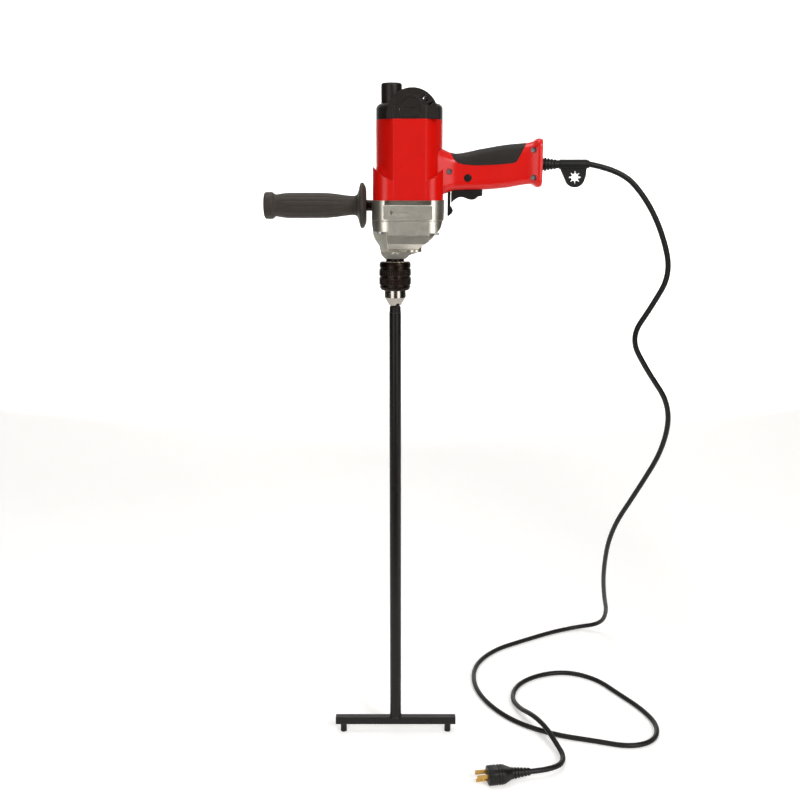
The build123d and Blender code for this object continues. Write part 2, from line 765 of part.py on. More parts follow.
# ================================================================ cap with its tower and brush covers
shoulder_z = 963.0
brush_cover_radius = 13.2
brush_recess = 1.8
brush_ring_radius = 17.9
top_bearing_z = 970.0
top_bearing_height = 6.0
top_bearing_outer = 9.5
cap_plan = barrel_plan(housing_top_z, barrel_radius - 0.4, barrel_flat - 0.4)
cap_hollow = barrel_plan(housing_top_z, barrel_radius - cap_wall, barrel_flat - cap_wall)
under_dome = Pos(dome_x, 0, dome_z) * Rot(90, 0, 0) * Cylinder(dome_radius - 1, 2 * dome_half_depth)
seat_bar = Pos(motor_x, 0, top_bearing_z) * Cylinder(top_bearing_outer + 2.6, 20, align=FROM_BASE)
seat_column = seat_bar & under_dome
with BuildPart() as top_cap:
    extrude(cap_plan, amount=shoulder_z - housing_top_z)
    fillet(top_cap.faces().sort_by(Axis.Z)[-1].edges(), 7.5)
    with Locations((dome_x, 0, dome_z)):
        Cylinder(dome_radius, 2 * dome_half_depth, rotation=(90, 0, 0))
    with Locations((tower_x, 0, commutator_z)):
        Cylinder(tower_radius, tower_top_z - commutator_z, align=FROM_BASE)
    fillet(top_cap.faces().sort_by(Axis.Z)[-1].edges(), 3.2)
    with Locations((tower_x, 0, tower_top_z)):
        Cylinder(tower_radius - 5, 2.4, align=FROM_TOP, mode=Mode.SUBTRACT)
    # Raised rings round the brush covers.
    for side in (-1, 1):
        with Locations((motor_x, side * dome_half_depth, commutator_z)):
            Cylinder(brush_ring_radius, 2.4, rotation=(90, 0, 0))
    with Locations((motor_x, 0, housing_top_z)):
        Box(120, 120, 40, align=FROM_TOP, mode=Mode.SUBTRACT)
    # Hollow.
    extrude(cap_hollow, amount=shoulder_z - cap_wall - housing_top_z, mode=Mode.SUBTRACT)
    with Locations((dome_x, 0, dome_z)):
        Cylinder(
            dome_radius - cap_wall,
            2 * (dome_half_depth - cap_wall),
            rotation=(90, 0, 0),
            mode=Mode.SUBTRACT,
        )
    with Locations((tower_x, 0, commutator_z)):
        Cylinder(
            tower_radius - cap_wall,
            tower_top_z - 2.4 - cap_wall - commutator_z,
            align=FROM_BASE,
            mode=Mode.SUBTRACT,
        )
    # Seat for the armature's top bearing, hung from the dome.
    add(seat_column)
    with Locations((motor_x, 0, top_bearing_z)):
        Cylinder(
            top_bearing_outer + running,
            top_bearing_height + 2,
            align=FROM_BASE,
            mode=Mode.SUBTRACT,
        )
    # Columns, pockets and holes of the four screws.
    with BuildSketch(Plane.XY.offset(housing_top_z)):
        with Locations((motor_x, 0)):
            with Locations(*[(i * cap_screw_x, j * cap_screw_y) for i in (-1, 1) for j in (-1, 1)]):
                Circle(5.2)
    extrude(amount=shoulder_z - 5 - housing_top_z)
    with BuildSketch(Plane.XY.offset(housing_top_z + 9)):
        with Locations((motor_x, 0)):
            with Locations(*[(i * cap_screw_x, j * cap_screw_y) for i in (-1, 1) for j in (-1, 1)]):
                Circle(3.8)
    extrude(amount=40, mode=Mode.SUBTRACT)
    with BuildSketch(Plane.XY.offset(housing_top_z)):
        with Locations((motor_x, 0)):
            with Locations(*[(i * cap_screw_x, j * cap_screw_y) for i in (-1, 1) for j in (-1, 1)]):
                Circle(cap_screw_radius + seat)
    extrude(amount=12, mode=Mode.SUBTRACT)
    # Recesses for the brush covers, brush ways and air slots.
    for side in (-1, 1):
        with Locations((motor_x, side * (dome_half_depth + 6 - brush_recess), commutator_z)):
            Cylinder(brush_cover_radius + 0.2, 12, rotation=(90, 0, 0), mode=Mode.SUBTRACT)
        with Locations((motor_x, side * dome_half_depth, commutator_z)):
            Cylinder(5.2, 12, rotation=(90, 0, 0), mode=Mode.SUBTRACT)
        with Locations((dome_x, side * dome_half_depth, dome_z)):
            for slot_angle in (30, 43, 56):
                reach = 28.4
                with Locations(
                    Location(
                        (
                            reach * math.cos(math.radians(slot_angle)),
                            0,
                            reach * math.sin(math.radians(slot_angle)),
                        ),
                        (0, -slot_angle, 0),
                    )
                ):
                    Box(7.6, 12, 2.4, mode=Mode.SUBTRACT)
pieces["top_cap"] = top_cap

with BuildPart() as brush_covers:
    for side in (-1, 1):
        with Locations((motor_x, side * (dome_half_depth - brush_recess + 1.7), commutator_z)):
            Cylinder(brush_cover_radius, 3.4, rotation=(90, 0, 0))
        with Locations((motor_x, side * (dome_half_depth - brush_recess + 3.4), commutator_z)):
            Box(14, 1.6, 1.8, mode=Mode.SUBTRACT)
pieces["brush_covers"] = brush_covers

with BuildPart() as cap_screws:
    with Locations((motor_x, 0, housing_top_z + 9)):
        with Locations(*[(i * cap_screw_x, j * cap_screw_y, 0) for i in (-1, 1) for j in (-1, 1)]):
            Cylinder(3.4, 2.6, align=FROM_BASE)
            Cylinder(cap_screw_radius, 30, align=FROM_TOP)
pieces["cap_screws"] = cap_screws

# ================================================================ motor
winding_radius = 18.0
core_top_z = core_bottom_z + core_length
shaft_radius = 5.0
lower_bearing_inner = 4.0
top_bearing_inner = 3.5
commutator_radius = 11.5
commutator_height = 20.0
fan_z = 838.0
fan_height = 12.0
fan_radius = 37.0
fast_pinion_outline = gear_outline(pinion_teeth, fast_module, fast_angle)
with BuildPart() as armature_shaft:
    with BuildSketch(Plane.XY.offset(wheel_z - 1.4)):
        with Locations((motor_x, 0)):
            add(fast_pinion_outline)
    extrude(amount=wheel_height + 2.8)
    for low, high, radius in (
        (wheel_z + wheel_height + 1.4, lower_bearing_z, 3.3),
        (lower_bearing_z, lower_bearing_z + armature_bearing_height, lower_bearing_inner - running),
        (lower_bearing_z + armature_bearing_height, top_bearing_z - 0.5, shaft_radius),
        (top_bearing_z - 0.5, top_bearing_z + top_bearing_height + 0.4, top_bearing_inner - running),
    ):
        with BuildSketch(Plane.XY.offset(low)):
            with Locations((motor_x, 0)):
                Circle(radius)
        extrude(amount=high - low)
pieces["armature_shaft"] = armature_shaft

slot_count = 12
armature_radius = 22.4
with BuildPart() as armature_core:
    with BuildSketch(Plane.XY.offset(core_bottom_z)):
        with Locations((motor_x, 0)):
            Circle(armature_radius)
            Circle(shaft_radius, mode=Mode.SUBTRACT)
            with PolarLocations(16.5, slot_count):
                Rectangle(6.6, 4.2, mode=Mode.SUBTRACT)
            with PolarLocations(21, slot_count):
                Rectangle(4, 1.4, mode=Mode.SUBTRACT)
    extrude(amount=core_length)
pieces["armature_core"] = armature_core

with BuildPart() as armature_winding:
    with BuildSketch(Plane.XY.offset(core_bottom_z)):
        with Locations((motor_x, 0)):
            with PolarLocations(16.5, slot_count):
                Rectangle(6.4, 4.0)
    extrude(amount=core_length)
    for low, high in ((core_bottom_z - 9, core_bottom_z), (core_top_z, core_top_z + 11)):
        with BuildSketch(Plane.XY.offset(low)):
            with Locations((motor_x, 0)):
                Circle(winding_radius)
                Circle(shaft_radius, mode=Mode.SUBTRACT)
        extrude(amount=high - low)
pieces["armature_winding"] = armature_winding

with BuildPart() as commutator:
    with BuildSketch(Plane.XY.offset(commutator_z - commutator_height / 2)):
        with Locations((motor_x, 0)):
            Circle(commutator_radius)
            Circle(shaft_radius, mode=Mode.SUBTRACT)
            with PolarLocations(commutator_radius, 24):
                Rectangle(1.4, 0.5, mode=Mode.SUBTRACT)
    extrude(amount=commutator_height)
pieces["commutator"] = commutator

with BuildPart() as cooling_fan:
    with BuildSketch(Plane.XY.offset(fan_z + fan_height - 1.6)):
        with Locations((motor_x, 0)):
            Circle(fan_radius)
            Circle(shaft_radius, mode=Mode.SUBTRACT)
    extrude(amount=1.6)
    with BuildSketch(Plane.XY.offset(fan_z)):
        with Locations((motor_x, 0)):
            Circle(9)
            Circle(shaft_radius, mode=Mode.SUBTRACT)
            with PolarLocations(25, 14):
                Rectangle(22, 1.4, rotation=24)
    extrude(amount=fan_height - 1.6)
pieces["cooling_fan"] = cooling_fan

coil_near = 19.0              # the coils' inner and outer faces, from the armature axis
coil_far = 29.0
coil_half = 27.0
coil_inner_half = 20.0
coil_overhang = 9.0
stator_plan = barrel_plan(core_bottom_z, core_radius, core_flat)
with BuildPart() as field_core:
    extrude(stator_plan, amount=core_length)
    with BuildSketch(Plane.XY.offset(core_bottom_z)):
        with Locations((motor_x, 0)):
            Circle(armature_radius + 0.6)
            with GridLocations(coil_half + coil_inner_half, coil_near + coil_far, 2, 2):
                Rectangle(coil_half - coil_inner_half + 0.4, coil_far - coil_near + 0.4)
    extrude(amount=core_length, mode=Mode.SUBTRACT)
pieces["field_core"] = field_core

with BuildPart() as field_coils:
    for side in (-1, 1):
        with BuildSketch(Plane.XZ.offset(side * coil_near if side > 0 else coil_far * side)):
            with Locations((motor_x, core_bottom_z + core_length / 2)):
                RectangleRounded(2 * coil_half, core_length + 2 * coil_overhang, 6)
                RectangleRounded(2 * coil_inner_half, core_length + 1, 0.3, mode=Mode.SUBTRACT)
        extrude(amount=coil_far - coil_near)
pieces["field_coils"] = field_coils

lower_armature_ring = ball_bearing(lower_bearing_inner, armature_bearing_outer, armature_bearing_height)
top_armature_ring = ball_bearing(top_bearing_inner, top_bearing_outer, top_bearing_height)
with BuildPart() as armature_bearings:
    add(Pos(motor_x, 0, lower_bearing_z) * lower_armature_ring)
    add(Pos(motor_x, 0, top_bearing_z) * top_armature_ring)
pieces["armature_bearings"] = armature_bearings

# Brush gear: a tube, a carbon and a spring on each side of the commutator.
brush_width = 8.0
brush_height = 10.0
brush_near = commutator_radius + gap
brush_far = brush_near + 16
holder_near = commutator_radius + 3
holder_far = dome_half_depth - cap_wall
with BuildPart() as brush_holders:
    for side in (-1, 1):
        with Locations((motor_x, side * (holder_near + holder_far) / 2, commutator_z)):
            Box(brush_width + 4, holder_far - holder_near, brush_height + 4)
            Box(brush_width + 0.2, holder_far - holder_near, brush_height + 0.2, mode=Mode.SUBTRACT)
pieces["brush_holders"] = brush_holders

with BuildPart() as carbon_brushes:
    for side in (-1, 1):
        with Locations((motor_x, side * (brush_near + brush_far) / 2, commutator_z)):
            Box(brush_width, brush_far - brush_near, brush_height)
    with Locations((motor_x, 0, commutator_z)):
        Cylinder(brush_near, brush_height + 2, mode=Mode.SUBTRACT)
pieces["carbon_brushes"] = carbon_brushes

brush_spring_length = dome_half_depth - brush_recess - brush_far - 0.4
brush_spring = coil_spring(3.0, 0.35, brush_spring_length - 0.7, 5)
with BuildPart() as brush_springs:
    for side in (-1, 1):
        add(Pos(motor_x, side * (brush_far + 0.5), commutator_z) * Rot(-side * 90, 0, 0) * brush_spring)
pieces["brush_springs"] = brush_springs

# ================================================================ main handle
# Cross-sections along the handle: x, underside, top, half width, corner radius.
handle_sections = (
    (56.0, 836.5, 909.0, 27.0, 16.0),
    (70.0, 842.0, 901.0, 22.5, 15.0),
    (84.0, 846.3, 896.3, 19.5, 14.0),
    (120.0, 847.0, 902.5, 18.5, 14.0),
    (155.0, 849.8, 908.2, 18.5, 14.0),
    (180.0, 854.0, 910.6, 19.0, 14.0),
    (190.0, 855.0, 912.4, 20.5, 13.0),
    (199.0, 850.4, 917.0, 23.5, 12.0),
    (203.5, 852.0, 916.0, 22.5, 11.0),
)


def handle_body(inset, end_inset=0.0):
    """The handle's outer form, drawn in by a thickness."""
    with BuildPart() as body:
        for place, low, high, half, corner in handle_sections:
            x = place - (end_inset if place > 200 else 0)
            with BuildSketch(Plane.YZ.offset(x)):
                with Locations((0, (low + high) / 2)):
                    RectangleRounded(2 * (half - inset), high - low - 2 * inset, corner - inset)
        loft(ruled=True)
    return body.part


switch_front_x = 84.0
switch_back_x = 122.0
switch_bottom_z = 854.2
switch_top_z = 877.0
switch_half = 11.0
trigger_half = 8.7
trigger_front_x = 79.1
trigger_back_x = 122.5
trigger_top_z = 849.0
trigger_travel = 4.5
button_x = 100.8
button_z = 863.4
button_radius = 5.0
lever_x = 74.0
lever_thickness = 4.0
lever_pivot_z = 850.0
lever_pivot_radius = 3.2
lever_half = 3.0
clamp_x = 182.0
clamp_length = 8.0
clamp_z = boot_z + cord_radius
boot_neck_radius = 8.0
handle_screw_radius = 1.9
handle_screw_head = 3.6
handle_screw_seat = 15.5
clamp_screw_y = 8.6
clamp_screw_radius = 1.5
handle_screw_spots = ((190.5, 901.0), (191.5, 864.0), (75.0, 872.0))
handle_outer = handle_body(0)
handle_inner = handle_body(handle_wall + 0.6, handle_wall + 0.6)
handle_skin = handle_body(insert_skin)

with BuildPart() as handle_grip_insert:
    add(handle_outer)
    add(handle_skin, mode=Mode.SUBTRACT)
    with BuildSketch(Plane.XZ):
        with BuildLine():
            Polyline((180.1, 908.3), (184, 925), (74, 925), (77.6, 897.0), (86.1, 884.1))
            Spline((86.1, 884.1), (117.2, 880.4), (162.6, 883.4), (168.6, 886.3))
            Line((168.6, 886.3), (180.1, 908.3))
        make_face()
    extrude(amount=60, both=True, mode=Mode.INTERSECT)
pieces["handle_grip_insert"] = handle_grip_insert

grip_insert = handle_grip_insert.part
barrel_room = extrude(barrel_plan(cover_top_z - 5, barrel_radius + seat, barrel_flat + 0.02), amount=120)
skirt_room = extrude(case_plan(cover_top_z - 5, skirt_inset - seat), amount=61)
for half_name, side in (("handle_half_front", -1), ("handle_half_back", 1)):
    with BuildPart() as handle_half:
        add(handle_outer)
        add(handle_inner, mode=Mode.SUBTRACT)
        # Ribs that hold the switch, the lever's pivot, and the screw and clamp bosses.
        for rib_x in (switch_front_x + 6, switch_back_x - 8):
            with Locations((rib_x, side * switch_half, (switch_bottom_z + switch_top_z) / 2)):
                Box(3, 6, 16, align=(Align.CENTER, Align.MIN if side > 0 else Align.MAX, Align.CENTER))
        with Locations((lever_x, side * (lever_pivot_radius + gap), lever_pivot_z)):
            Box(6, 12, 4, align=(Align.CENTER, Align.MIN if side > 0 else Align.MAX, Align.CENTER))
        with Locations((clamp_x + clamp_length / 2, side * (cord_radius + gap), clamp_z)):
            Box(
                clamp_length,
                14,
                12,
                align=(Align.CENTER, Align.MIN if side > 0 else Align.MAX, Align.MAX),
            )
        for spot_x, spot_z in handle_screw_spots:
            with Locations((spot_x, 0, spot_z)):
                Cylinder(
                    4.4,
                    24,
                    rotation=(90, 0, 0),
                    align=(Align.CENTER, Align.CENTER, Align.MAX if side > 0 else Align.MIN),
                )
        with BuildSketch(Plane.YZ.offset(40)):
            with Locations((side * 40, 880)):
                Rectangle(80, 120)
        extrude(amount=180, mode=Mode.INTERSECT)
        add(handle_outer, mode=Mode.INTERSECT)
        add(grip_insert, mode=Mode.SUBTRACT)
        add(barrel_room, mode=Mode.SUBTRACT)
        add(skirt_room, mode=Mode.SUBTRACT)
        # Trigger slot, lever slot, boot hole, screw and clamp holes.
        with Locations(((trigger_front_x + trigger_back_x) / 2, 0, switch_bottom_z)):
            Box(
                trigger_back_x - trigger_front_x + 2 * gap,
                2 * (trigger_half + gap),
                30,
                align=FROM_TOP,
                mode=Mode.SUBTRACT,
            )
        with Locations((lever_x + lever_thickness / 2, 0, lever_pivot_z - 1)):
            Box(
                lever_thickness + 2.4,
                2 * (lever_half + 2.2),
                30,
                align=FROM_TOP,
                mode=Mode.SUBTRACT,
            )
        with Locations((handle_end - 8, 0, boot_z)):
            Cylinder(boot_neck_radius + seat, 12, rotation=(0, 90, 0), align=FROM_BASE, mode=Mode.SUBTRACT)
        for spot_x, spot_z in handle_screw_spots:
            with Locations((spot_x, 0, spot_z)):
                Cylinder(handle_screw_radius + seat, 60, rotation=(90, 0, 0), mode=Mode.SUBTRACT)
            with Locations((spot_x, -handle_screw_seat, spot_z)):
                Cylinder(
                    handle_screw_head + 0.3,
                    20,
                    rotation=(90, 0, 0),
                    align=FROM_BASE,
                    mode=Mode.SUBTRACT,
                )
        with Locations(*[(clamp_x + clamp_length / 2, i * clamp_screw_y, clamp_z) for i in (-1, 1)]):
            Cylinder(clamp_screw_radius + seat, 24, mode=Mode.SUBTRACT)
        if side < 0:
            with Locations((button_x, 0, button_z)):
                Cylinder(button_radius + gap, 40, rotation=(90, 0, 0), align=FROM_BASE, mode=Mode.SUBTRACT)
    pieces[half_name] = handle_half

with BuildPart() as handle_screws:
    for spot_x, spot_z in handle_screw_spots:
        with Locations((spot_x, -handle_screw_seat, spot_z)):
            Cylinder(handle_screw_head, 2.4, rotation=(90, 0, 0), align=FROM_BASE)
            Cylinder(handle_screw_radius, 28, rotation=(90, 0, 0), align=FROM_TOP)
        with Locations((spot_x, -handle_screw_seat - 2.4, spot_z)):
            Box(4.4, 1.6, 1.0, mode=Mode.SUBTRACT)
            Box(1.0, 1.6, 4.4, mode=Mode.SUBTRACT)
pieces["handle_screws"] = handle_screws

# ================================================================ switch, trigger, lever, button
spring_x = 100.8
spring_radius = 2.6
spring_wire = 0.35
spring_low_z = 838.6
with BuildPart() as switch_body:
    with Locations(
        ((switch_front_x + switch_back_x) / 2, 0, (switch_bottom_z + switch_top_z) / 2)
    ):
        Box(switch_back_x - switch_front_x, 2 * switch_half - 0.2, switch_top_z - switch_bottom_z)
    fillet(switch_body.edges().filter_by(Axis.Z), 1.5)
pieces["switch_body"] = switch_body

with BuildPart() as trigger:
    with BuildSketch(Plane.XZ):
        with BuildLine():
            Line((trigger_front_x, trigger_top_z), (trigger_front_x, 829.4))
            Spline((trigger_front_x, 829.4), (82.4, 832.6), (92.0, 837.2), (103.0, 834.2), (116.4, 838.0))
            Polyline((116.4, 838.0), (trigger_back_x, 839.0), (trigger_back_x, trigger_top_z))
            Line((trigger_back_x, trigger_top_z), (trigger_front_x, trigger_top_z))
        make_face()
    extrude(amount=trigger_half, both=True)
    fillet(trigger.edges().filter_by(Axis.Z), 2.0)
    with Locations((spring_x, 0, spring_low_z - 0.3)):
        Cylinder(spring_radius + spring_wire + 0.4, 30, align=FROM_BASE, mode=Mode.SUBTRACT)
pieces["trigger"] = trigger

trigger_coil = coil_spring(spring_radius, spring_wire, switch_bottom_z - spring_low_z - 0.8, 7)
with BuildPart() as trigger_spring:
    add(Pos(spring_x, 0, spring_low_z + spring_wire) * trigger_coil)
pieces["trigger_spring"] = trigger_spring

with BuildPart() as reversing_lever:
    with BuildSketch(Plane.XZ):
        with BuildLine():
            Polyline(
                (lever_x, lever_pivot_z),
                (lever_x, 811.2),
                (lever_x + 1.8, 811.0),
                (lever_x + 6.2, 814.6),
                (lever_x + 7.8, 818.4),
                (lever_x + 6.2, 822.2),
                (lever_x + lever_thickness, 825.4),
                (lever_x + lever_thickness, lever_pivot_z),
                close=True,
            )
        make_face()
    extrude(amount=lever_half, both=True)
    with Locations((lever_x - 2.5, 0, lever_pivot_z)):
        Cylinder(lever_pivot_radius, 7, rotation=(0, 90, 0), align=FROM_BASE)
pieces["reversing_lever"] = reversing_lever

button_face_y = -20.4
button_inner_y = -13.6
with BuildPart() as lock_on_button:
    with Locations((button_x, button_inner_y, button_z)):
        Cylinder(
            button_radius,
            button_inner_y - button_face_y,
            rotation=(90, 0, 0),
            align=FROM_BASE,
        )
    fillet(lock_on_button.faces().sort_by(Axis.Y)[0].edges(), 1.0)
    with Locations((button_x, button_inner_y, button_z)):
        Cylinder(button_radius + 1.2, 1.0, rotation=(90, 0, 0), align=FROM_BASE)
pieces["lock_on_button"] = lock_on_button

# ================================================================ cord entry
boot_bore = cord_radius + 0.05
boot_rib_x = handle_end - handle_wall - 0.6
with BuildPart() as cord_boot:
    with BuildSketch(Plane.XZ):
        with BuildLine():
            Polyline(
                (boot_rib_x - 2.8, boot_z + boot_bore),
                (boot_rib_x - 2.8, boot_z + 10.6),
                (boot_rib_x, boot_z + 10.6),
                (boot_rib_x, boot_z + boot_neck_radius),
                (handle_end, boot_z + boot_neck_radius),
                (handle_end, boot_z + 10.3),
                (handle_end + 2.6, boot_z + 10.3),
                (209.8, boot_z + 7.4),
                (216.0, boot_z + 6.5),
                (229.6, boot_z + 6.1),
                (229.6, boot_z + 5.0),
                (268.4, boot_z + 5.0),
                (268.4, boot_z + 5.7),
                (boot_end_x, boot_z + 5.4),
                (boot_end_x, boot_z + boot_bore),
                close=True,
            )
        make_face()
    revolve(axis=Axis((0, 0, boot_z), (1, 0, 0)))
pieces["cord_boot"] = cord_boot

star_x = 252.0
star_z = 864.2
with BuildPart() as chuck_key_holder:
    with BuildSketch(Plane.XZ):
        with BuildLine():
            Polyline((268.0, boot_z), (230.4, boot_z), (232.0, 874.0), (240.0, 857.2))
            RadiusArc((240.0, 857.2), (264.0, 857.2), -14.0)
            Polyline((264.0, 857.2), (267.0, 866.0), (268.0, boot_z))
        make_face()
        with Locations((star_x, star_z)):
            Circle(5.3, mode=Mode.SUBTRACT)
            with PolarLocations(4.4, 8):
                Rectangle(7.8, 1.7, mode=Mode.SUBTRACT)
    extrude(amount=3.2, both=True)
    with Locations((230.0, 0, boot_z)):
        Cylinder(6.7, 38, rotation=(0, 90, 0), align=FROM_BASE)
        Cylinder(5.05, 38, rotation=(0, 90, 0), align=FROM_BASE, mode=Mode.SUBTRACT)
pieces["chuck_key_holder"] = chuck_key_holder

inner_cord_x = 176.0
with BuildPart() as cord_inner_end:
    with Locations((inner_cord_x, 0, boot_z)):
        Cylinder(cord_radius, boot_end_x - inner_cord_x, rotation=(0, 90, 0), align=FROM_BASE)
pieces["cord_inner_end"] = cord_inner_end

with BuildPart() as cord_clamp:
    with Locations((clamp_x + clamp_length / 2, 0, clamp_z)):
        Box(clamp_length, 24, 2.6, align=FROM_BASE)
    with Locations(*[(clamp_x + clamp_length / 2, i * clamp_screw_y, clamp_z) for i in (-1, 1)]):
        Cylinder(clamp_screw_radius + seat, 12, mode=Mode.SUBTRACT)
pieces["cord_clamp"] = cord_clamp

with BuildPart() as cord_clamp_screws:
    with Locations(*[(clamp_x + clamp_length / 2, i * clamp_screw_y, clamp_z + 2.6) for i in (-1, 1)]):
        Cylinder(2.8, 1.8, align=FROM_BASE)
        Cylinder(clamp_screw_radius, 12, align=FROM_TOP)
pieces["cord_clamp_screws"] = cord_clamp_screws

# Leads: two from the cord to the switch, two from the switch to the field coils.
lead_radius = 1.1
lead_routes = []
for side in (-1, 1):
    lead_routes.append(
        ((inner_cord_x - 0.4, side * 1.6, boot_z), (150, side * 4, 878), (134, side * 4, 868), (switch_back_x, side * 4, 868))
    )
    lead_routes.append(
        (
            (switch_front_x, side * 4, wire_hole_z),
            (60, side * 4, wire_hole_z),
            (45, side * 9, wire_hole_z + 8),
            (42, side * (coil_near - 0.4), wire_hole_z + 9),
        )
    )
with BuildPart() as leads:
    for route in lead_routes:
        with BuildLine() as run:
            FilletPolyline(*route, radius=3.0)
        with BuildSketch(run.line ^ 0):
            Circle(lead_radius)
        sweep(path=run.line)
pieces["leads"] = leads

# ================================================================ cord and plug
# Route of the cord's middle line: out of the boot, down beside the tool, a loop on the floor, the plug.
lie = cord_radius + 0.2
cord_route = [
    (boot_end_x, 0, boot_z),
    (316, 0, 874),
    (352, 0, 838),
    (380, 2, 788),
    (397, 5, 729),
    (373, 11, 680),
    (346, 17, 634),
    (375, 27, 584),
    (420, 44, 524),
    (419, 64, 452),
    (392, 98, 374),
    (360, 144, 284),
    (365, 205, 186),
    (382, 262, 110),
    (398, 304, 62),
    (396, 338, 20),
    (352, 356, lie),
    (300, 334, lie),
    (240, 298, lie),
    (182, 262, lie),
    (142, 205, lie),
    (134, 140, lie),
    (150, 78, lie),
    (190, 18, lie),
    (250, -20, lie),
    (314, -38, lie),
    (364, -54, lie),
    (406, -38, lie),
    (422, 6, lie),
    (408, 56, lie),
    (380, 104, lie),
    (352, 154, lie),
    (306, 180, lie),
    (254, 170, lie),
    (212, 138, lie),
    (195, 92, lie),
    (204, 50, 9),
    (220, 12, 20.5),
    (236, -22, 20.5),
    (247, -52, 13),
    (257, -92, 8.5),
    (236, -124, 12.6),
    (198, -130, 12.6),
]


def corner_radii(route):
    """Radius at each inner point: 0.45 of the shorter run over the tangent of half the turn."""
    points = [Vector(*point) for point in route]
    radii = []
    for before, here, after in zip(points, points[1:], points[2:]):
        run_in = here - before
        run_out = after - here
        turn_angle = math.radians(run_in.get_angle(run_out))
        radii.append(0.45 * min(run_in.length, run_out.length) / math.tan(turn_angle / 2))
    return radii


cord_radii = corner_radii(cord_route)
print("cord corner radii", [round(radius) for radius in cord_radii])
with BuildPart() as cord:
    with BuildLine() as cord_line:
        FilletPolyline(*cord_route, radius=cord_radii)
    with BuildSketch(cord_line.line ^ 0):
        Circle(cord_radius)
    sweep(path=cord_line.line)
    # The first end is cut square, to meet the boot.
    with Locations((boot_end_x, 0, boot_z)):
        Box(20, 20, 20, align=(Align.MAX, Align.CENTER, Align.CENTER), mode=Mode.SUBTRACT)
pieces["cord"] = cord
cord_length = cord_line.wires()[0].length
print("cord length", round(cord_length), "volume share", cord.part.volume / (math.pi * cord_radius**2 * cord_length))

cord_end = Vector(*cord_route[-1])
cord_heading = (cord_end - Vector(*cord_route[-2])).normalized()
plug_plane = Plane(origin=cord_end, x_dir=(0, 0, 1), z_dir=cord_heading)
relief_length = 30.0
plug_length = 34.0
plug_height = 24.4
plug_width = 28.0
blade_spacing = 12.7
with BuildPart() as plug_body:
    with BuildSketch(plug_plane):
        Circle(5.4)
    with BuildSketch(plug_plane.offset(relief_length)):
        Circle(8.4)
    loft()
    for rib in range(5):
        with BuildSketch(plug_plane.offset(4 + rib * 5)):
            Circle(20)
            Circle(4.6 + rib * 0.5, mode=Mode.SUBTRACT)
        extrude(amount=1.6, mode=Mode.SUBTRACT)
    with BuildSketch(plug_plane.offset(relief_length)):
        RectangleRounded(plug_height - 6, plug_width - 8, 7)
    with BuildSketch(plug_plane.offset(relief_length + 12)):
        RectangleRounded(plug_height, plug_width, 9)
    loft()
    with BuildSketch(plug_plane.offset(relief_length + 12)):
        RectangleRounded(plug_height, plug_width, 9)
    extrude(amount=plug_length - 12)
pieces["plug_body"] = plug_body

with BuildPart() as plug_blades:
    with BuildSketch(plug_plane.offset(relief_length + plug_length)):
        with Locations((2.5, -blade_spacing / 2), (2.5, blade_spacing / 2)):
            Rectangle(6.35, 1.5)
        with Locations((2.5 - 9, 0)):
            Circle(2.4)
    extrude(amount=17)
pieces["plug_blades"] = plug_blades

# ================================================================ side handle
grip_end_x = -184.0
grip_flange_x = -40.6
with BuildPart() as side_handle_grip:
    with BuildSketch(Plane.XZ):
        with BuildLine():
            Polyline(
                (grip_flange_x, side_handle_z + side_stud_radius + running),
                (grip_flange_x, side_handle_z + 24),
                (-46, side_handle_z + 32),
                (-48.6, side_handle_z + 31),
                (-50.6, side_handle_z + 24),
                (-54, side_handle_z + 14.5),
                (-59, side_handle_z + 13),
                (-78, side_handle_z + 15.4),
                (-99, side_handle_z + 17.5),
                (-155, side_handle_z + 17.5),
                (-162, side_handle_z + 16),
                (-168, side_handle_z + 15.2),
                (-171.5, side_handle_z + 18.2),
                (-174, side_handle_z + 18.6),
                (-182, side_handle_z + 18.6),
                (grip_end_x, side_handle_z + 16.5),
                (grip_end_x, side_handle_z + 0.0),
                (-110, side_handle_z + 0.0),
                (-110, side_handle_z + side_stud_radius + running),
                close=True,
            )
        make_face()
    revolve(axis=Axis((0, 0, side_handle_z), (1, 0, 0)))
pieces["side_handle_grip"] = side_handle_grip

with BuildPart() as side_handle_stud:
    with Locations((-109.5, 0, side_handle_z)):
        Cylinder(side_stud_radius, side_boss_end - 4 + 109.5, rotation=(0, 90, 0), align=FROM_BASE)
    with Locations((grip_flange_x, 0, side_handle_z)):
        Cylinder(7.6, case_left - 0.6 - grip_flange_x, rotation=(0, 90, 0), align=FROM_BASE)
pieces["side_handle_stud"] = side_handle_stud

# ---------------------------------------------------------------- write the pieces
for name, piece in pieces.items():
    piece.part.label = name
    export_step(piece.part, f"parts/{name}.step")
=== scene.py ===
"""Corded mixing drill with a long crossbar driver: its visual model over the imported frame."""
import json
import logging
import math
from dataclasses import dataclass
from enum import Enum

import bmesh
import bpy
from mathutils import Matrix, Vector


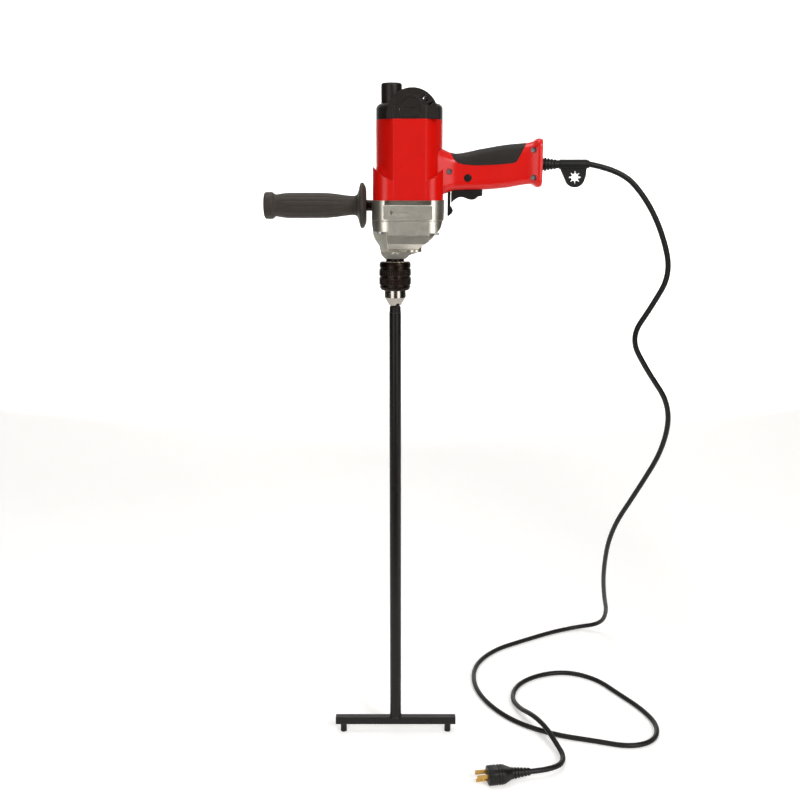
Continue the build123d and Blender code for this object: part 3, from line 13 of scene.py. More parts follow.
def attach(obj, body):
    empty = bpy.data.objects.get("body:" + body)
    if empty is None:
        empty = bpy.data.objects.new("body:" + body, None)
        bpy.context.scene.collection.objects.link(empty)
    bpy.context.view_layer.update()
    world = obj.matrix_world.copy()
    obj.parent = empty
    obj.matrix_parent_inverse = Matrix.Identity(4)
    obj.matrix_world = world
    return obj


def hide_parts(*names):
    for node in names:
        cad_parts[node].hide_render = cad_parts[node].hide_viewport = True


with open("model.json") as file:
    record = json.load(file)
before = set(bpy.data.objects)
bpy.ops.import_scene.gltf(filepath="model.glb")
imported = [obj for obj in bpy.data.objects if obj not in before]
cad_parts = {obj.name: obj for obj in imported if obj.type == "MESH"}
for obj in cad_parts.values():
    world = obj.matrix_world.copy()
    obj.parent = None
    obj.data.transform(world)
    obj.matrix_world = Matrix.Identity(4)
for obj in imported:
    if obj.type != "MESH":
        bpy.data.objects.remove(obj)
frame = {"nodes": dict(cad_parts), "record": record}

log = logging.getLogger("mixing_drill")
MM = 0.001
# Stretches the wave texture, so that one of its rings is about twice the grain.
WAVE_STRETCH = 6.28
# How wide the wear along an edge reaches, and the size of its patches, in millimetres.
WEAR_REACH_MM = 1.4
WEAR_PATCH_MM = 6.0
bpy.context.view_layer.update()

Colour = tuple[float, float, float, float]
Ring = list[Vector]
Point = tuple[float, float, float]
Tree = bpy.types.NodeTree
Socket = bpy.types.NodeSocket


# ---------------------------------------------------------------- small helpers
def linear(hex_colour: str) -> Colour:
    """Turns an sRGB hex colour to linear light.

    Args:
        hex_colour: six hex digits with a leading #.

    Returns:
        Red, green, blue and an alpha of 1.
    """
    levels = [int(hex_colour[i : i + 2], 16) / 255 for i in (1, 3, 5)]
    red, green, blue = (v / 12.92 if v <= 0.04045 else ((v + 0.055) / 1.055) ** 2.4 for v in levels)
    return (red, green, blue, 1.0)


def per_metre(size_mm: float) -> float:
    """Pattern scale that gives features of a size in millimetres on metre coordinates."""
    return 1.0 / (size_mm * MM)


def add_node(tree: Tree, kind: str, settings: dict, inputs: dict) -> bpy.types.Node:
    """Adds one shader node.

    Args:
        tree: the material's node tree.
        kind: the node's type name without its ShaderNode prefix.
        settings: attributes to set on the node.
        inputs: values by socket name or number; an output socket is linked.

    Returns:
        The new node.
    """
    made = tree.nodes.new("ShaderNode" + kind)
    for name, value in settings.items():
        setattr(made, name, value)
    for socket, value in inputs.items():
        if isinstance(value, bpy.types.NodeSocket):
            tree.links.new(value, made.inputs[socket])
        else:
            made.inputs[socket].default_value = value
    return made


def new_piece(name: str, mesh: bpy.types.Mesh, sharp_degrees: float = 38.0) -> bpy.types.Object:
    """Puts a mesh into the scene as a smooth-shaded piece.

    Args:
        name: the piece's name.
        mesh: its mesh, in the row frame.
        sharp_degrees: edges that turn more than this stay sharp.

    Returns:
        The new object.
    """
    smooth(mesh, sharp_degrees)
    piece = bpy.data.objects.new(name, mesh)
    bpy.context.scene.collection.objects.link(piece)
    return piece


def smooth(mesh: bpy.types.Mesh, sharp_degrees: float) -> None:
    """Shades a mesh smooth, with the edges that turn more than an angle left sharp."""
    mesh.shade_smooth()
    mesh.set_sharp_from_angle(angle=math.radians(sharp_degrees))


def mesh_of(form: bmesh.types.BMesh, name: str) -> bpy.types.Mesh:
    """Turns a bmesh into a named mesh and frees it."""
    mesh = bpy.data.meshes.new(name)
    form.to_mesh(mesh)
    form.free()
    return mesh


def turns_round(count: int) -> list[float]:
    """Even steps once round a circle, in radians."""
    return [2 * math.pi * i / count for i in range(count)]


def mesh_from_rings(name: str, rings: list[Ring]) -> bpy.types.Mesh:
    """Skins closed rings of equal count into a capped, closed mesh.

    Args:
        name: the mesh's name.
        rings: the rings in order along the piece.

    Returns:
        The mesh, its faces turned outwards.
    """
    form = bmesh.new()
    rows = [[form.verts.new(point) for point in ring] for ring in rings]
    for row, following in zip(rows, rows[1:]):
        for i, corner in enumerate(row):
            after = (i + 1) % len(row)
            form.faces.new((corner, row[after], following[after], following[i]))
    form.faces.new(rows[0])
    form.faces.new(rows[-1])
    bmesh.ops.remove_doubles(form, verts=form.verts, dist=1e-7)
    bmesh.ops.recalc_face_normals(form, faces=form.faces)
    return mesh_of(form, name)


def eased(table: list[tuple[float, ...]], place: float) -> list[float]:
    """Reads a table along its first column with a smooth curve that never overshoots.

    Args:
        table: rows of a place followed by values, in rising order of place.
        place: where to read.

    Returns:
        The values at that place.
    """
    if place <= table[0][0]:
        return list(table[0][1:])
    if place >= table[-1][0]:
        return list(table[-1][1:])
    k = max(i for i in range(len(table) - 1) if table[i][0] <= place)
    width = table[k + 1][0] - table[k][0]
    t = (place - table[k][0]) / width
    values = []
    for column in range(1, len(table[0])):
        slopes = [(b[column] - a[column]) / (b[0] - a[0]) for a, b in zip(table, table[1:])]

        def tangent(row: int) -> float:
            """Slope at a row: none at a turning point, else the harmonic mean."""
            if row in (0, len(table) - 1):
                return slopes[0 if row == 0 else -1]
            before, after = slopes[row - 1], slopes[row]
            return 0.0 if before * after <= 0 else 2 * before * after / (before + after)

        start, end = table[k][column], table[k + 1][column]
        values.append(
            start * (1 + 2 * t) * (1 - t) ** 2
            + tangent(k) * width * t * (1 - t) ** 2
            + end * t * t * (3 - 2 * t)
            - tangent(k + 1) * width * t * t * (1 - t)
        )
    return values


def rounded_outline(
    half_wide: float, half_high: float, corner: float, steps: int = 10
) -> list[tuple[float, float]]:
    """Points round a rectangle with round corners, centred on zero.

    Args:
        half_wide: half the width.
        half_high: half the height.
        corner: corner radius.
        steps: pieces in each corner's arc and on each flat.

    Returns:
        Pairs across and up, in order.
    """
    corner = min(corner, half_wide - 1e-4, half_high - 1e-4)
    centres = [
        (half_wide - corner, half_high - corner, 0),
        (corner - half_wide, half_high - corner, 90),
        (corner - half_wide, corner - half_high, 180),
        (half_wide - corner, corner - half_high, 270),
    ]
    points = []
    for centre_x, centre_y, start in centres:
        for step in range(steps + 1):
            turn = math.radians(start + 90 * step / steps)
            points.append((centre_x + corner * math.cos(turn), centre_y + corner * math.sin(turn)))
    filled = []
    for here, after in zip(points, points[1:] + points[:1]):
        filled.append(here)
        if math.dist(here, after) > 3 * corner * math.radians(90 / steps):
            for step in range(1, steps):
                share = step / steps
                filled.append(
                    (here[0] + (after[0] - here[0]) * share, here[1] + (after[1] - here[1]) * share)
                )
    return filled


def box_tool(low: Point, high: Point) -> bpy.types.Object:
    """A block to cut with, from its lowest and highest corners in millimetres."""
    form = bmesh.new()
    size = [(b - a) * MM for a, b in zip(low, high)]
    middle = [(a + b) / 2 * MM for a, b in zip(low, high)]
    place = Matrix.Translation(middle) @ Matrix.Diagonal((*size, 1))
    bmesh.ops.create_cube(form, size=1.0, matrix=place)
    return tool_from(form)


def bar_tool(start: Point, axis: Point, radius: float, length: float) -> bpy.types.Object:
    """A round bar to cut with, from the middle of its first end, in millimetres."""
    form = bmesh.new()
    along = Vector(axis).normalized()
    turned = along.to_track_quat("Z", "Y").to_matrix().to_4x4()
    place = Matrix.Translation((Vector(start) + along * length / 2) * MM) @ turned
    bmesh.ops.create_cone(
        form,
        segments=64,
        cap_ends=True,
        radius1=radius * MM,
        radius2=radius * MM,
        depth=length * MM,
        matrix=place,
    )
    return tool_from(form)


def prism_tool(outline: list[tuple[float, float]], half_deep: float) -> bpy.types.Object:
    """A prism to cut with: an outline in X and Z, run along Y to both sides, in millimetres."""
    form = bmesh.new()
    rows = [
        [form.verts.new((x * MM, side * half_deep * MM, z * MM)) for x, z in outline]
        for side in (-1, 1)
    ]
    for i in range(len(outline)):
        after = (i + 1) % len(outline)
        form.faces.new((rows[0][i], rows[0][after], rows[1][after], rows[1][i]))
    for row in rows:
        form.faces.new(row)
    bmesh.ops.recalc_face_normals(form, faces=form.faces)
    return tool_from(form)


def tool_from(form: bmesh.types.BMesh) -> bpy.types.Object:
    """Wraps a bmesh as an object that only cuts."""
    tool = bpy.data.objects.new("tool", mesh_of(form, "tool"))
    bpy.context.scene.collection.objects.link(tool)
    return tool


class Cut(Enum):
    """What a cutting tool leaves of a piece."""

    OUTSIDE = "DIFFERENCE"
    INSIDE = "INTERSECT"


def carve(piece: bpy.types.Object, tools: list[bpy.types.Object], keep: Cut) -> None:
    """Cuts a piece with tools one after another and clears the tools away.

    Args:
        piece: the piece to cut.
        tools: the cutting objects.
        keep: the part of the piece that stays.
    """
    for tool in tools:
        cutting = piece.modifiers.new("cut", "BOOLEAN")
        cutting.operation = keep.value
        cutting.solver = "EXACT"
        cutting.object = tool
        settle(piece)
        bpy.data.objects.remove(tool)


def settle(piece: bpy.types.Object) -> None:
    """Makes a piece's modifiers part of its mesh."""
    bpy.context.view_layer.update()
    evaluated = piece.evaluated_get(bpy.context.evaluated_depsgraph_get())
    finished = bpy.data.meshes.new_from_object(evaluated)
    piece.modifiers.clear()
    piece.data = finished


# ---------------------------------------------------------------- finishes
class Marks(Enum):
    """How a surface was worked, which sets the pattern of its relief."""

    PEEL = "glossy moulding or enamel with a faint orange peel"
    SPARK = "spark-eroded or blasted grain"
    LATHE = "fine turned rings round the spindle axis"
    LAYERS = "stacked sheets or wound wire"


@dataclass(frozen=True)
class Finish:
    """A real material and its surface, as a shader."""

    name: str
    colour: str
    shade: str
    roughness: float
    marks: Marks
    grain_mm: float
    relief_mm: float
    metallic: float = 0.0
    ior: float = 1.5
    coat: float = 0.0
    sheen: float = 0.0
    specular: float = 0.5
    edge: str = ""
    edge_wear: float = 0.0
    rounding_mm: float = 0.45
    roughness_spread: float = 0.07
    mottle_mm: float = 22.0

    def material(self) -> bpy.types.Material:
        """Builds the shader.

        Returns:
            A node material with mottled colour, worn edges, uneven gloss and relief.
        """
        made = bpy.data.materials.new(self.name)
        made.use_nodes = True
        tree = made.node_tree
        tree.nodes.clear()
        place = add_node(tree, "TexCoord", {}, {}).outputs["Object"]
        mottle = self.noise(tree, place, self.mottle_mm, 5.0, 0.6)
        tint = add_node(
            tree,
            "Mix",
            {"data_type": "RGBA"},
            {0: mottle, 6: linear(self.colour), 7: linear(self.shade)},
        ).outputs[2]
        rounding = {"Radius": self.rounding_mm * MM}
        rounded = add_node(tree, "Bevel", {"samples": 4}, rounding).outputs[0]
        if self.edge:
            tint = self.worn(tree, place, tint)
        scuffs = self.noise(tree, place, self.mottle_mm / 4, 6.0, 0.7)
        gloss = add_node(
            tree,
            "MapRange",
            {},
            {
                "Value": scuffs,
                "From Min": 0.3,
                "From Max": 0.7,
                "To Min": self.roughness - self.roughness_spread,
                "To Max": self.roughness + self.roughness_spread,
            },
        ).outputs[0]
        relief = add_node(
            tree,
            "Bump",
            {},
            {
                "Strength": 1.0,
                "Distance": self.relief_mm * MM,
                "Height": self.height(tree, place),
                "Normal": rounded,
            },
        ).outputs[0]
        shader = add_node(
            tree,
            "BsdfPrincipled",
            {},
            {"Base Color": tint, "Roughness": gloss, "Normal": relief, "Metallic": self.metallic},
        )
        if not self.metallic:
            shader.inputs["IOR"].default_value = self.ior
        shader.inputs["Coat Weight"].default_value = self.coat
        shader.inputs["Coat Roughness"].default_value = 0.12
        shader.inputs["Sheen Weight"].default_value = self.sheen
        shader.inputs["Specular IOR Level"].default_value = self.specular
        add_node(tree, "OutputMaterial", {}, {"Surface": shader.outputs[0]})
        return made

    def noise(
        self, tree: Tree, place: Socket, size_mm: float, detail: float, rough: float
    ) -> Socket:
        """Cloudy noise with features of a size in millimetres.

        Args:
            tree: the material's node tree.
            place: metre coordinates.
            size_mm: the size of its features.
            detail: how many finer layers it has.
            rough: how strong the finer layers are.

        Returns:
            The noise, from 0 to 1.
        """
        scale = per_metre(size_mm)
        inputs = {"Vector": place, "Scale": scale, "Detail": detail, "Roughness": rough}
        return add_node(tree, "TexNoise", {}, inputs).outputs[0]

    def worn(self, tree: Tree, place: Socket, tint: Socket) -> Socket:
        """Rubs the edge colour through along the outer edges, in patches.

        Args:
            tree: the material's node tree.
            place: metre coordinates.
            tint: the colour of the unworn surface.

        Returns:
            The colour with its wear.
        """
        soft = add_node(tree, "Bevel", {"samples": 4}, {"Radius": WEAR_REACH_MM * MM}).outputs[0]
        flat = add_node(tree, "NewGeometry", {}, {}).outputs["Normal"]
        dot = {"operation": "DOT_PRODUCT"}
        turn = add_node(tree, "VectorMath", dot, {0: soft, 1: flat}).outputs["Value"]
        patches = self.noise(tree, place, WEAR_PATCH_MM, 6.0, 0.75)
        bite = add_node(
            tree,
            "MapRange",
            {},
            {
                "Value": turn,
                "From Min": 0.985,
                "From Max": 0.86,
                "To Min": 0.0,
                "To Max": self.edge_wear,
            },
        ).outputs[0]
        patchy = add_node(
            tree, "MapRange", {}, {"Value": patches, "From Min": 0.45, "From Max": 0.62}
        ).outputs[0]
        amount = add_node(tree, "Math", {"operation": "MULTIPLY"}, {0: bite, 1: patchy}).outputs[0]
        return add_node(
            tree, "Mix", {"data_type": "RGBA"}, {0: amount, 6: tint, 7: linear(self.edge)}
        ).outputs[2]

    def height(self, tree: Tree, place: Socket) -> Socket:
        """Relief pattern that the working of the surface left.

        Args:
            tree: the material's node tree.
            place: metre coordinates.

        Returns:
            The height, from 0 to 1.
        """
        scale = per_metre(self.grain_mm)
        if self.marks is Marks.LATHE:
            return add_node(
                tree,
                "TexWave",
                {"wave_type": "BANDS", "bands_direction": "Z"},
                {"Vector": place, "Scale": scale / WAVE_STRETCH, "Distortion": 0.6, "Detail": 2.0},
            ).outputs[1]
        if self.marks is Marks.LAYERS:
            return add_node(
                tree,
                "TexWave",
                {"wave_type": "BANDS", "bands_direction": "Z", "wave_profile": "SAW"},
                {"Vector": place, "Scale": scale / WAVE_STRETCH, "Distortion": 0.2},
            ).outputs[1]
        detail, rough = (3.0, 0.5) if self.marks is Marks.PEEL else (8.0, 0.68)
        return self.noise(tree, place, self.grain_mm, detail, rough)


FINISHES = {
    # Injection-moulded glossy nylon: saturated red, soft-edged reflections, faint orange peel.
    "red_housing": Finish(
        "moulded_red_nylon", "#e00f04", "#cd0b03", 0.3, Marks.PEEL, 3.0, 0.006,
        ior=1.53, coat=0.06, specular=0.32, rounding_mm=0.9, roughness_spread=0.03,
    ),
    # Glass-filled nylon from a spark-eroded tool: warm black that spreads its highlights.
    "black_cap": Finish(
        "moulded_black_nylon", "#231c18", "#1a1512", 0.38, Marks.SPARK, 0.7, 0.02,
        ior=1.53, specular=0.3, rounding_mm=1.2,
    ),
    # Thermoplastic elastomer overmould: near black, matte, with a slight bloom at grazing angles.
    "soft_grip": Finish(
        "elastomer_overmould", "#211a15", "#18130f", 0.6, Marks.SPARK, 0.8, 0.035,
        ior=1.5, specular=0.3, sheen=0.06,
    ),
    # Moulded nitrile rubber: brown-black and dull, its grain coarser than the overmould's.
    "grip_rubber": Finish(
        "moulded_grip_rubber", "#3b332b", "#2e2822", 0.56, Marks.SPARK, 1.0, 0.04,
        ior=1.52, specular=0.3, sheen=0.04,
    ),
    # Die-cast aluminium, shot blasted: warm pale grey that sparkles a little, its grit drawn large.
    "cast_case": Finish(
        "die_cast_aluminium", "#dedacf", "#c1bbad", 0.36, Marks.SPARK, 0.9, 0.03,
        metallic=1.0, edge="#e2dfd6", edge_wear=0.6, rounding_mm=0.9, mottle_mm=16,
    ),
    # Black-oxide steel: brown-black skin over steel that shines through at the knurl's edges.
    "black_oxide": Finish(
        "black_oxide_steel", "#2b211b", "#1d1613", 0.34, Marks.LATHE, 0.5, 0.006,
        metallic=1.0, edge="#8d857c", edge_wear=0.55,
    ),
    # Ground steel: bright, with rings left by the wheel.
    "bright_steel": Finish(
        "ground_steel", "#b5b0a8", "#989289", 0.16, Marks.LATHE, 0.45, 0.003,
        metallic=1.0,
    ),
    # Hobbed steel under a film of grease: darker and smoother in patches.
    "gear_steel": Finish(
        "hobbed_gear_steel", "#a8a59f", "#85817a", 0.3, Marks.LATHE, 0.4, 0.004,
        metallic=1.0, coat=0.3,
    ),
    # Zinc-plated steel screws: cool and bright.
    "screw_steel": Finish(
        "zinc_plated_steel", "#b9bcc0", "#9ea1a6", 0.28, Marks.PEEL, 0.8, 0.006,
        metallic=1.0,
    ),
    # Satin enamel sprayed on steel: near black, rubbed to metal on the corners of the bar.
    "driver_paint": Finish(
        "sprayed_black_enamel", "#15110f", "#0f0c0a", 0.32, Marks.PEEL, 1.4, 0.02,
        ior=1.5, specular=0.25, edge="#77716a", edge_wear=0.5, mottle_mm=30,
    ),
    # Enamelled weld bead: the same paint over ripples some 2 mm apart.
    "weld_steel": Finish(
        "enamelled_weld_bead", "#1e1a17", "#151210", 0.4, Marks.SPARK, 2.0, 0.35,
        ior=1.5, specular=0.3, rounding_mm=0.8,
    ),
    # Silicon-steel laminations: grey sheets 0.5 mm thick, drawn at about 2 mm to show.
    "lamination": Finish(
        "silicon_steel_stack", "#77777a", "#5f5f62", 0.45, Marks.LAYERS, 1.0, 0.06,
        metallic=1.0,
    ),
    # Enamelled copper winding: orange metal in close turns.
    "copper": Finish(
        "enamelled_copper_wire", "#c4703c", "#a65a2e", 0.35, Marks.LAYERS, 0.9, 0.12,
        metallic=1.0, coat=0.4,
    ),
    # Drawn brass: yellow metal, clean along its length.
    "brush_brass": Finish(
        "drawn_brass", "#c9a25c", "#b38d4a", 0.28, Marks.LATHE, 0.6, 0.004,
        metallic=1.0,
    ),
    # Pressed carbon: dead black with a granular face.
    "carbon": Finish(
        "pressed_carbon", "#1d1d1d", "#141414", 0.7, Marks.SPARK, 0.5, 0.03,
        ior=1.5,
    ),
    # Glass-filled nylon fan: dull black.
    "fan_plastic": Finish(
        "fan_nylon", "#2a2a2a", "#1f1f1f", 0.5, Marks.SPARK, 0.8, 0.02,
        ior=1.53,
    ),
    # Moulded nylon controls: black, finely grained, polished by fingers.
    "trigger_plastic": Finish(
        "moulded_control_nylon", "#141211", "#0e0d0c", 0.35, Marks.SPARK, 0.6, 0.015,
        ior=1.53, specular=0.3,
    ),
    # Extruded rubber jacket: black and satin, with a fine pull texture.
    "cord_rubber": Finish(
        "extruded_cord_rubber", "#110f0d", "#0b0a09", 0.4, Marks.SPARK, 0.9, 0.02,
        ior=1.52, specular=0.25,
    ),
    # Nitrile seal: dull black.
    "seal_rubber": Finish(
        "nitrile_seal_rubber", "#1c1c1c", "#151515", 0.6, Marks.SPARK, 0.7, 0.02,
        ior=1.52,
    ),
    # Vinyl wire insulation: dark red, a little waxy.
    "lead_wire": Finish(
        "vinyl_wire_insulation", "#7c1410", "#5e0f0c", 0.4, Marks.PEEL, 1.0, 0.01,
        ior=1.54,
    ),
}


class Paintbox:
    """Makes each finish once and puts it on CAD nodes and on new pieces."""

    def __init__(self) -> None:
        """Starts with no shader made."""
        self.made: dict[str, bpy.types.Material] = {}

    def take(self, slot_name: str) -> bpy.types.Material:
        """The shader of one of the record's material slots."""
        if slot_name not in self.made:
            self.made[slot_name] = FINISHES[slot_name].material()
        return self.made[slot_name]

    def dress_nodes(self, record: dict, nodes: dict[str, bpy.types.Object]) -> None:
        """Gives every CAD node its slot's finish.

        Args:
            record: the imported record.
            nodes: the CAD objects by node name.
        """
        for row in record["subparts"]:
            mesh = nodes[row["node"]].data
            if not mesh.materials:
                mesh.materials.append(None)
            for index in range(len(mesh.materials)):
                mesh.materials[index] = self.take(row["material_slot"])
            log.info("dressed %s as %s", row["node"], row["material_slot"])

    def dress_piece(
        self, piece: bpy.types.Object, slot_name: str, body: str, *stood_for: str
    ) -> None:
        """Finishes a new piece, ties it to its body and hides the nodes it stands for.

        Args:
            piece: the new piece.
            slot_name: the record's material slot.
            body: the CAD body it moves with.
            stood_for: the CAD nodes that it stands for.
        """
        piece.data.materials.clear()
        piece.data.materials.append(self.take(slot_name))
        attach(piece, body)
        if stood_for:
            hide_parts(*stood_for)
        log.info("built %s on %s", piece.name, body)


# ---------------------------------------------------------------- main handle
@dataclass
class MainHandle:
    """The spade handle: two moulded halves and a soft insert on its back."""

    # x, underside, top, half width, corner radius
    sections: tuple = (
        (56.0, 836.5, 909.0, 27.0, 16.0),
        (70.0, 842.0, 901.0, 22.5, 15.0),
        (84.0, 846.3, 896.3, 19.5, 14.0),
        (120.0, 847.0, 902.5, 18.5, 14.0),
        (155.0, 849.8, 908.2, 18.5, 14.0),
        (180.0, 854.0, 910.6, 19.0, 14.0),
        (190.0, 855.0, 912.4, 20.5, 13.0),
        (199.0, 850.4, 917.0, 23.5, 12.0),
        (203.5, 852.0, 916.0, 22.5, 11.0),
    )
    insert_outline: tuple = (
        (180.1, 908.3), (184.0, 925.0), (74.0, 925.0), (77.6, 897.0), (81.0, 889.6),
        (86.1, 884.1), (95.0, 881.6), (106.0, 880.5), (117.2, 880.4), (132.0, 880.9),
        (148.0, 881.9), (162.6, 883.4), (166.6, 884.4), (168.6, 886.3),
    )
    screw_spots: tuple = ((190.5, 901.0), (191.5, 864.0), (75.0, 872.0))
    rows: int = 74
    insert_proud: float = 0.35
    insert_thick: float = 1.6
    seam_wide: float = 0.5
    seam_deep: float = 0.6
    sharp_degrees: float = 32.0
    # lowest and highest corners of the slots that the trigger and the reversing lever work in
    trigger_slot: tuple = ((78.8, -9.0, 820), (122.8, 9.0, 854.2))
    lever_slot: tuple = ((72.8, -5.2, 800), (79.2, 5.2, 852.5))
    # middle of the first end, direction, radius and length of the round cuts
    button_hole: tuple = ((100.8, -10, 863.4), (0, -1, 0), 5.3, 30)
    boot_hole: tuple = ((196, 0, 882), (1, 0, 0), 8.05, 12)
    barrel_seat: tuple = ((20, 0, 820), (0, 0, 1), 46.52, 120)
    well_radius: float = 3.9
    well_floor: float = -15.5

    def form(self, name: str, grow: float) -> bpy.types.Mesh:
        """The handle's smooth outer form.

        Args:
            name: the mesh's name.
            grow: how far the surface stands out from its own line, in millimetres.

        Returns:
            A closed mesh.
        """
        start, end = self.sections[0][0], self.sections[-1][0]
        rings = []
        for row in range(self.rows + 1):
            x = start + (end - start) * row / self.rows
            low, high, half, corner = eased(list(self.sections), x)
            outline = rounded_outline(half + grow, (high - low) / 2 + grow, corner + grow)
            middle = (low + high) / 2
            rings.append([Vector((x, across, middle + up)) * MM for across, up in outline])
        return mesh_from_rings(name, rings)

    def halves(self) -> bpy.types.Object:
        """The red shell with its seam, trigger and lever slots, button hole and screw wells."""
        shell = new_piece("handle_shell", self.form("handle_shell", 0.0))
        seam = box_tool((50, -self.seam_wide / 2, 820), (210, self.seam_wide / 2, 930))
        core = new_piece("handle_core", self.form("handle_core", -self.seam_deep))
        carve(seam, [core], Cut.OUTSIDE)
        tools = [
            seam,
            box_tool(*self.trigger_slot),
            box_tool(*self.lever_slot),
            bar_tool(*self.button_hole),
            bar_tool(*self.boot_hole),
        ]
        for x, z in self.screw_spots:
            tools.append(bar_tool((x, self.well_floor, z), (0, -1, 0), self.well_radius, 20))
        tools.append(bar_tool(*self.barrel_seat))
        carve(shell, tools, Cut.OUTSIDE)
        smooth(shell.data, self.sharp_degrees)
        return shell

    def insert(self) -> bpy.types.Object:
        """The soft insert, standing a little proud of the shell."""
        pad = new_piece("handle_soft_insert", self.form("handle_soft_insert", self.insert_proud))
        carve(pad, [prism_tool(list(self.insert_outline), 60)], Cut.INSIDE)
        under = self.form("handle_under_insert", -self.insert_thick)
        carve(pad, [new_piece("handle_under_insert", under)], Cut.OUTSIDE)
        smooth(pad.data, self.sharp_degrees)
        return pad

    def build(self, paint: Paintbox) -> None:
        """Builds and dresses the handle."""
        paint.dress_piece(
            self.halves(), "red_housing", "housing", "handle_half_front", "handle_half_back"
        )
        paint.dress_piece(self.insert(), "soft_grip", "housing", "handle_grip_insert")


# ---------------------------------------------------------------- side handle
@dataclass
class SideHandle:
    """The screw-in side handle: a fluted rubber grip with a guard flange and an end lip."""

    axis_z: float = 825.5
    # distance from the tool's axis, radius
    profile: tuple = (
        (40.6, 24.0), (43.0, 29.4), (45.6, 31.8), (48.0, 31.5), (49.6, 28.0), (51.0, 22.0),
        (53.6, 15.4), (58.0, 13.4), (66.0, 14.0), (78.0, 15.6), (90.0, 17.0), (102.0, 17.6),
        (130.0, 17.7), (150.0, 17.6), (158.0, 17.0), (164.0, 15.9), (168.0, 15.5), (170.6, 17.4),
        (172.6, 18.6), (176.0, 18.9), (181.0, 18.8), (183.2, 17.9), (184.0, 16.2),
    )
    flutes: int = 16
    flute_deep: float = 0.85
    flute_start: float = 70.0
    flute_end: float = 160.0
    flute_fade: float = 8.0
    length_steps: int = 160
    round_points: int = 192
    # rings of the dished end: share of the last radius, and how far past the last ring
    dish: tuple = ((0.8, 0.0), (0.55, -1.4), (0.2, -1.8))

    def flute(self, along: float, turn: float) -> float:
        """Depth of the flutes at a place and a turn about the axis, in millimetres."""
        into = min(along - self.flute_start, self.flute_end - along) / self.flute_fade
        fade = max(0.0, min(1.0, into))
        wave = 0.5 + 0.5 * math.cos(self.flutes * turn)
        return self.flute_deep * fade * wave**5

    def point(self, along: float, reach: float, turn: float) -> Vector:
        """The point at a distance along the handle, a reach from its axis and a turn about it."""
        across, up = reach * math.cos(turn), reach * math.sin(turn)
        return Vector((-along, across, self.axis_z + up)) * MM

    def grip(self) -> bpy.types.Object:
        """The grip, skinned over rings about its axis."""
        rings = []
        start, end = self.profile[0][0], self.profile[-1][0]
        turns = turns_round(self.round_points)
        for step in range(self.length_steps + 1):
            along = start + (end - start) * step / self.length_steps
            (radius,) = eased(list(self.profile), along)
            rings.append([self.point(along, radius - self.flute(along, t), t) for t in turns])
        for share, back in self.dish:
            radius = self.profile[-1][1] * share
            rings.append([self.point(end + back, radius, t) for t in turns])
        return new_piece("side_grip_rubber", mesh_from_rings("side_grip_rubber", rings), 50)

    def build(self, paint: Paintbox) -> None:
        """Builds and dresses the side handle's grip."""
        paint.dress_piece(self.grip(), "grip_rubber", "side_handle", "side_handle_grip")


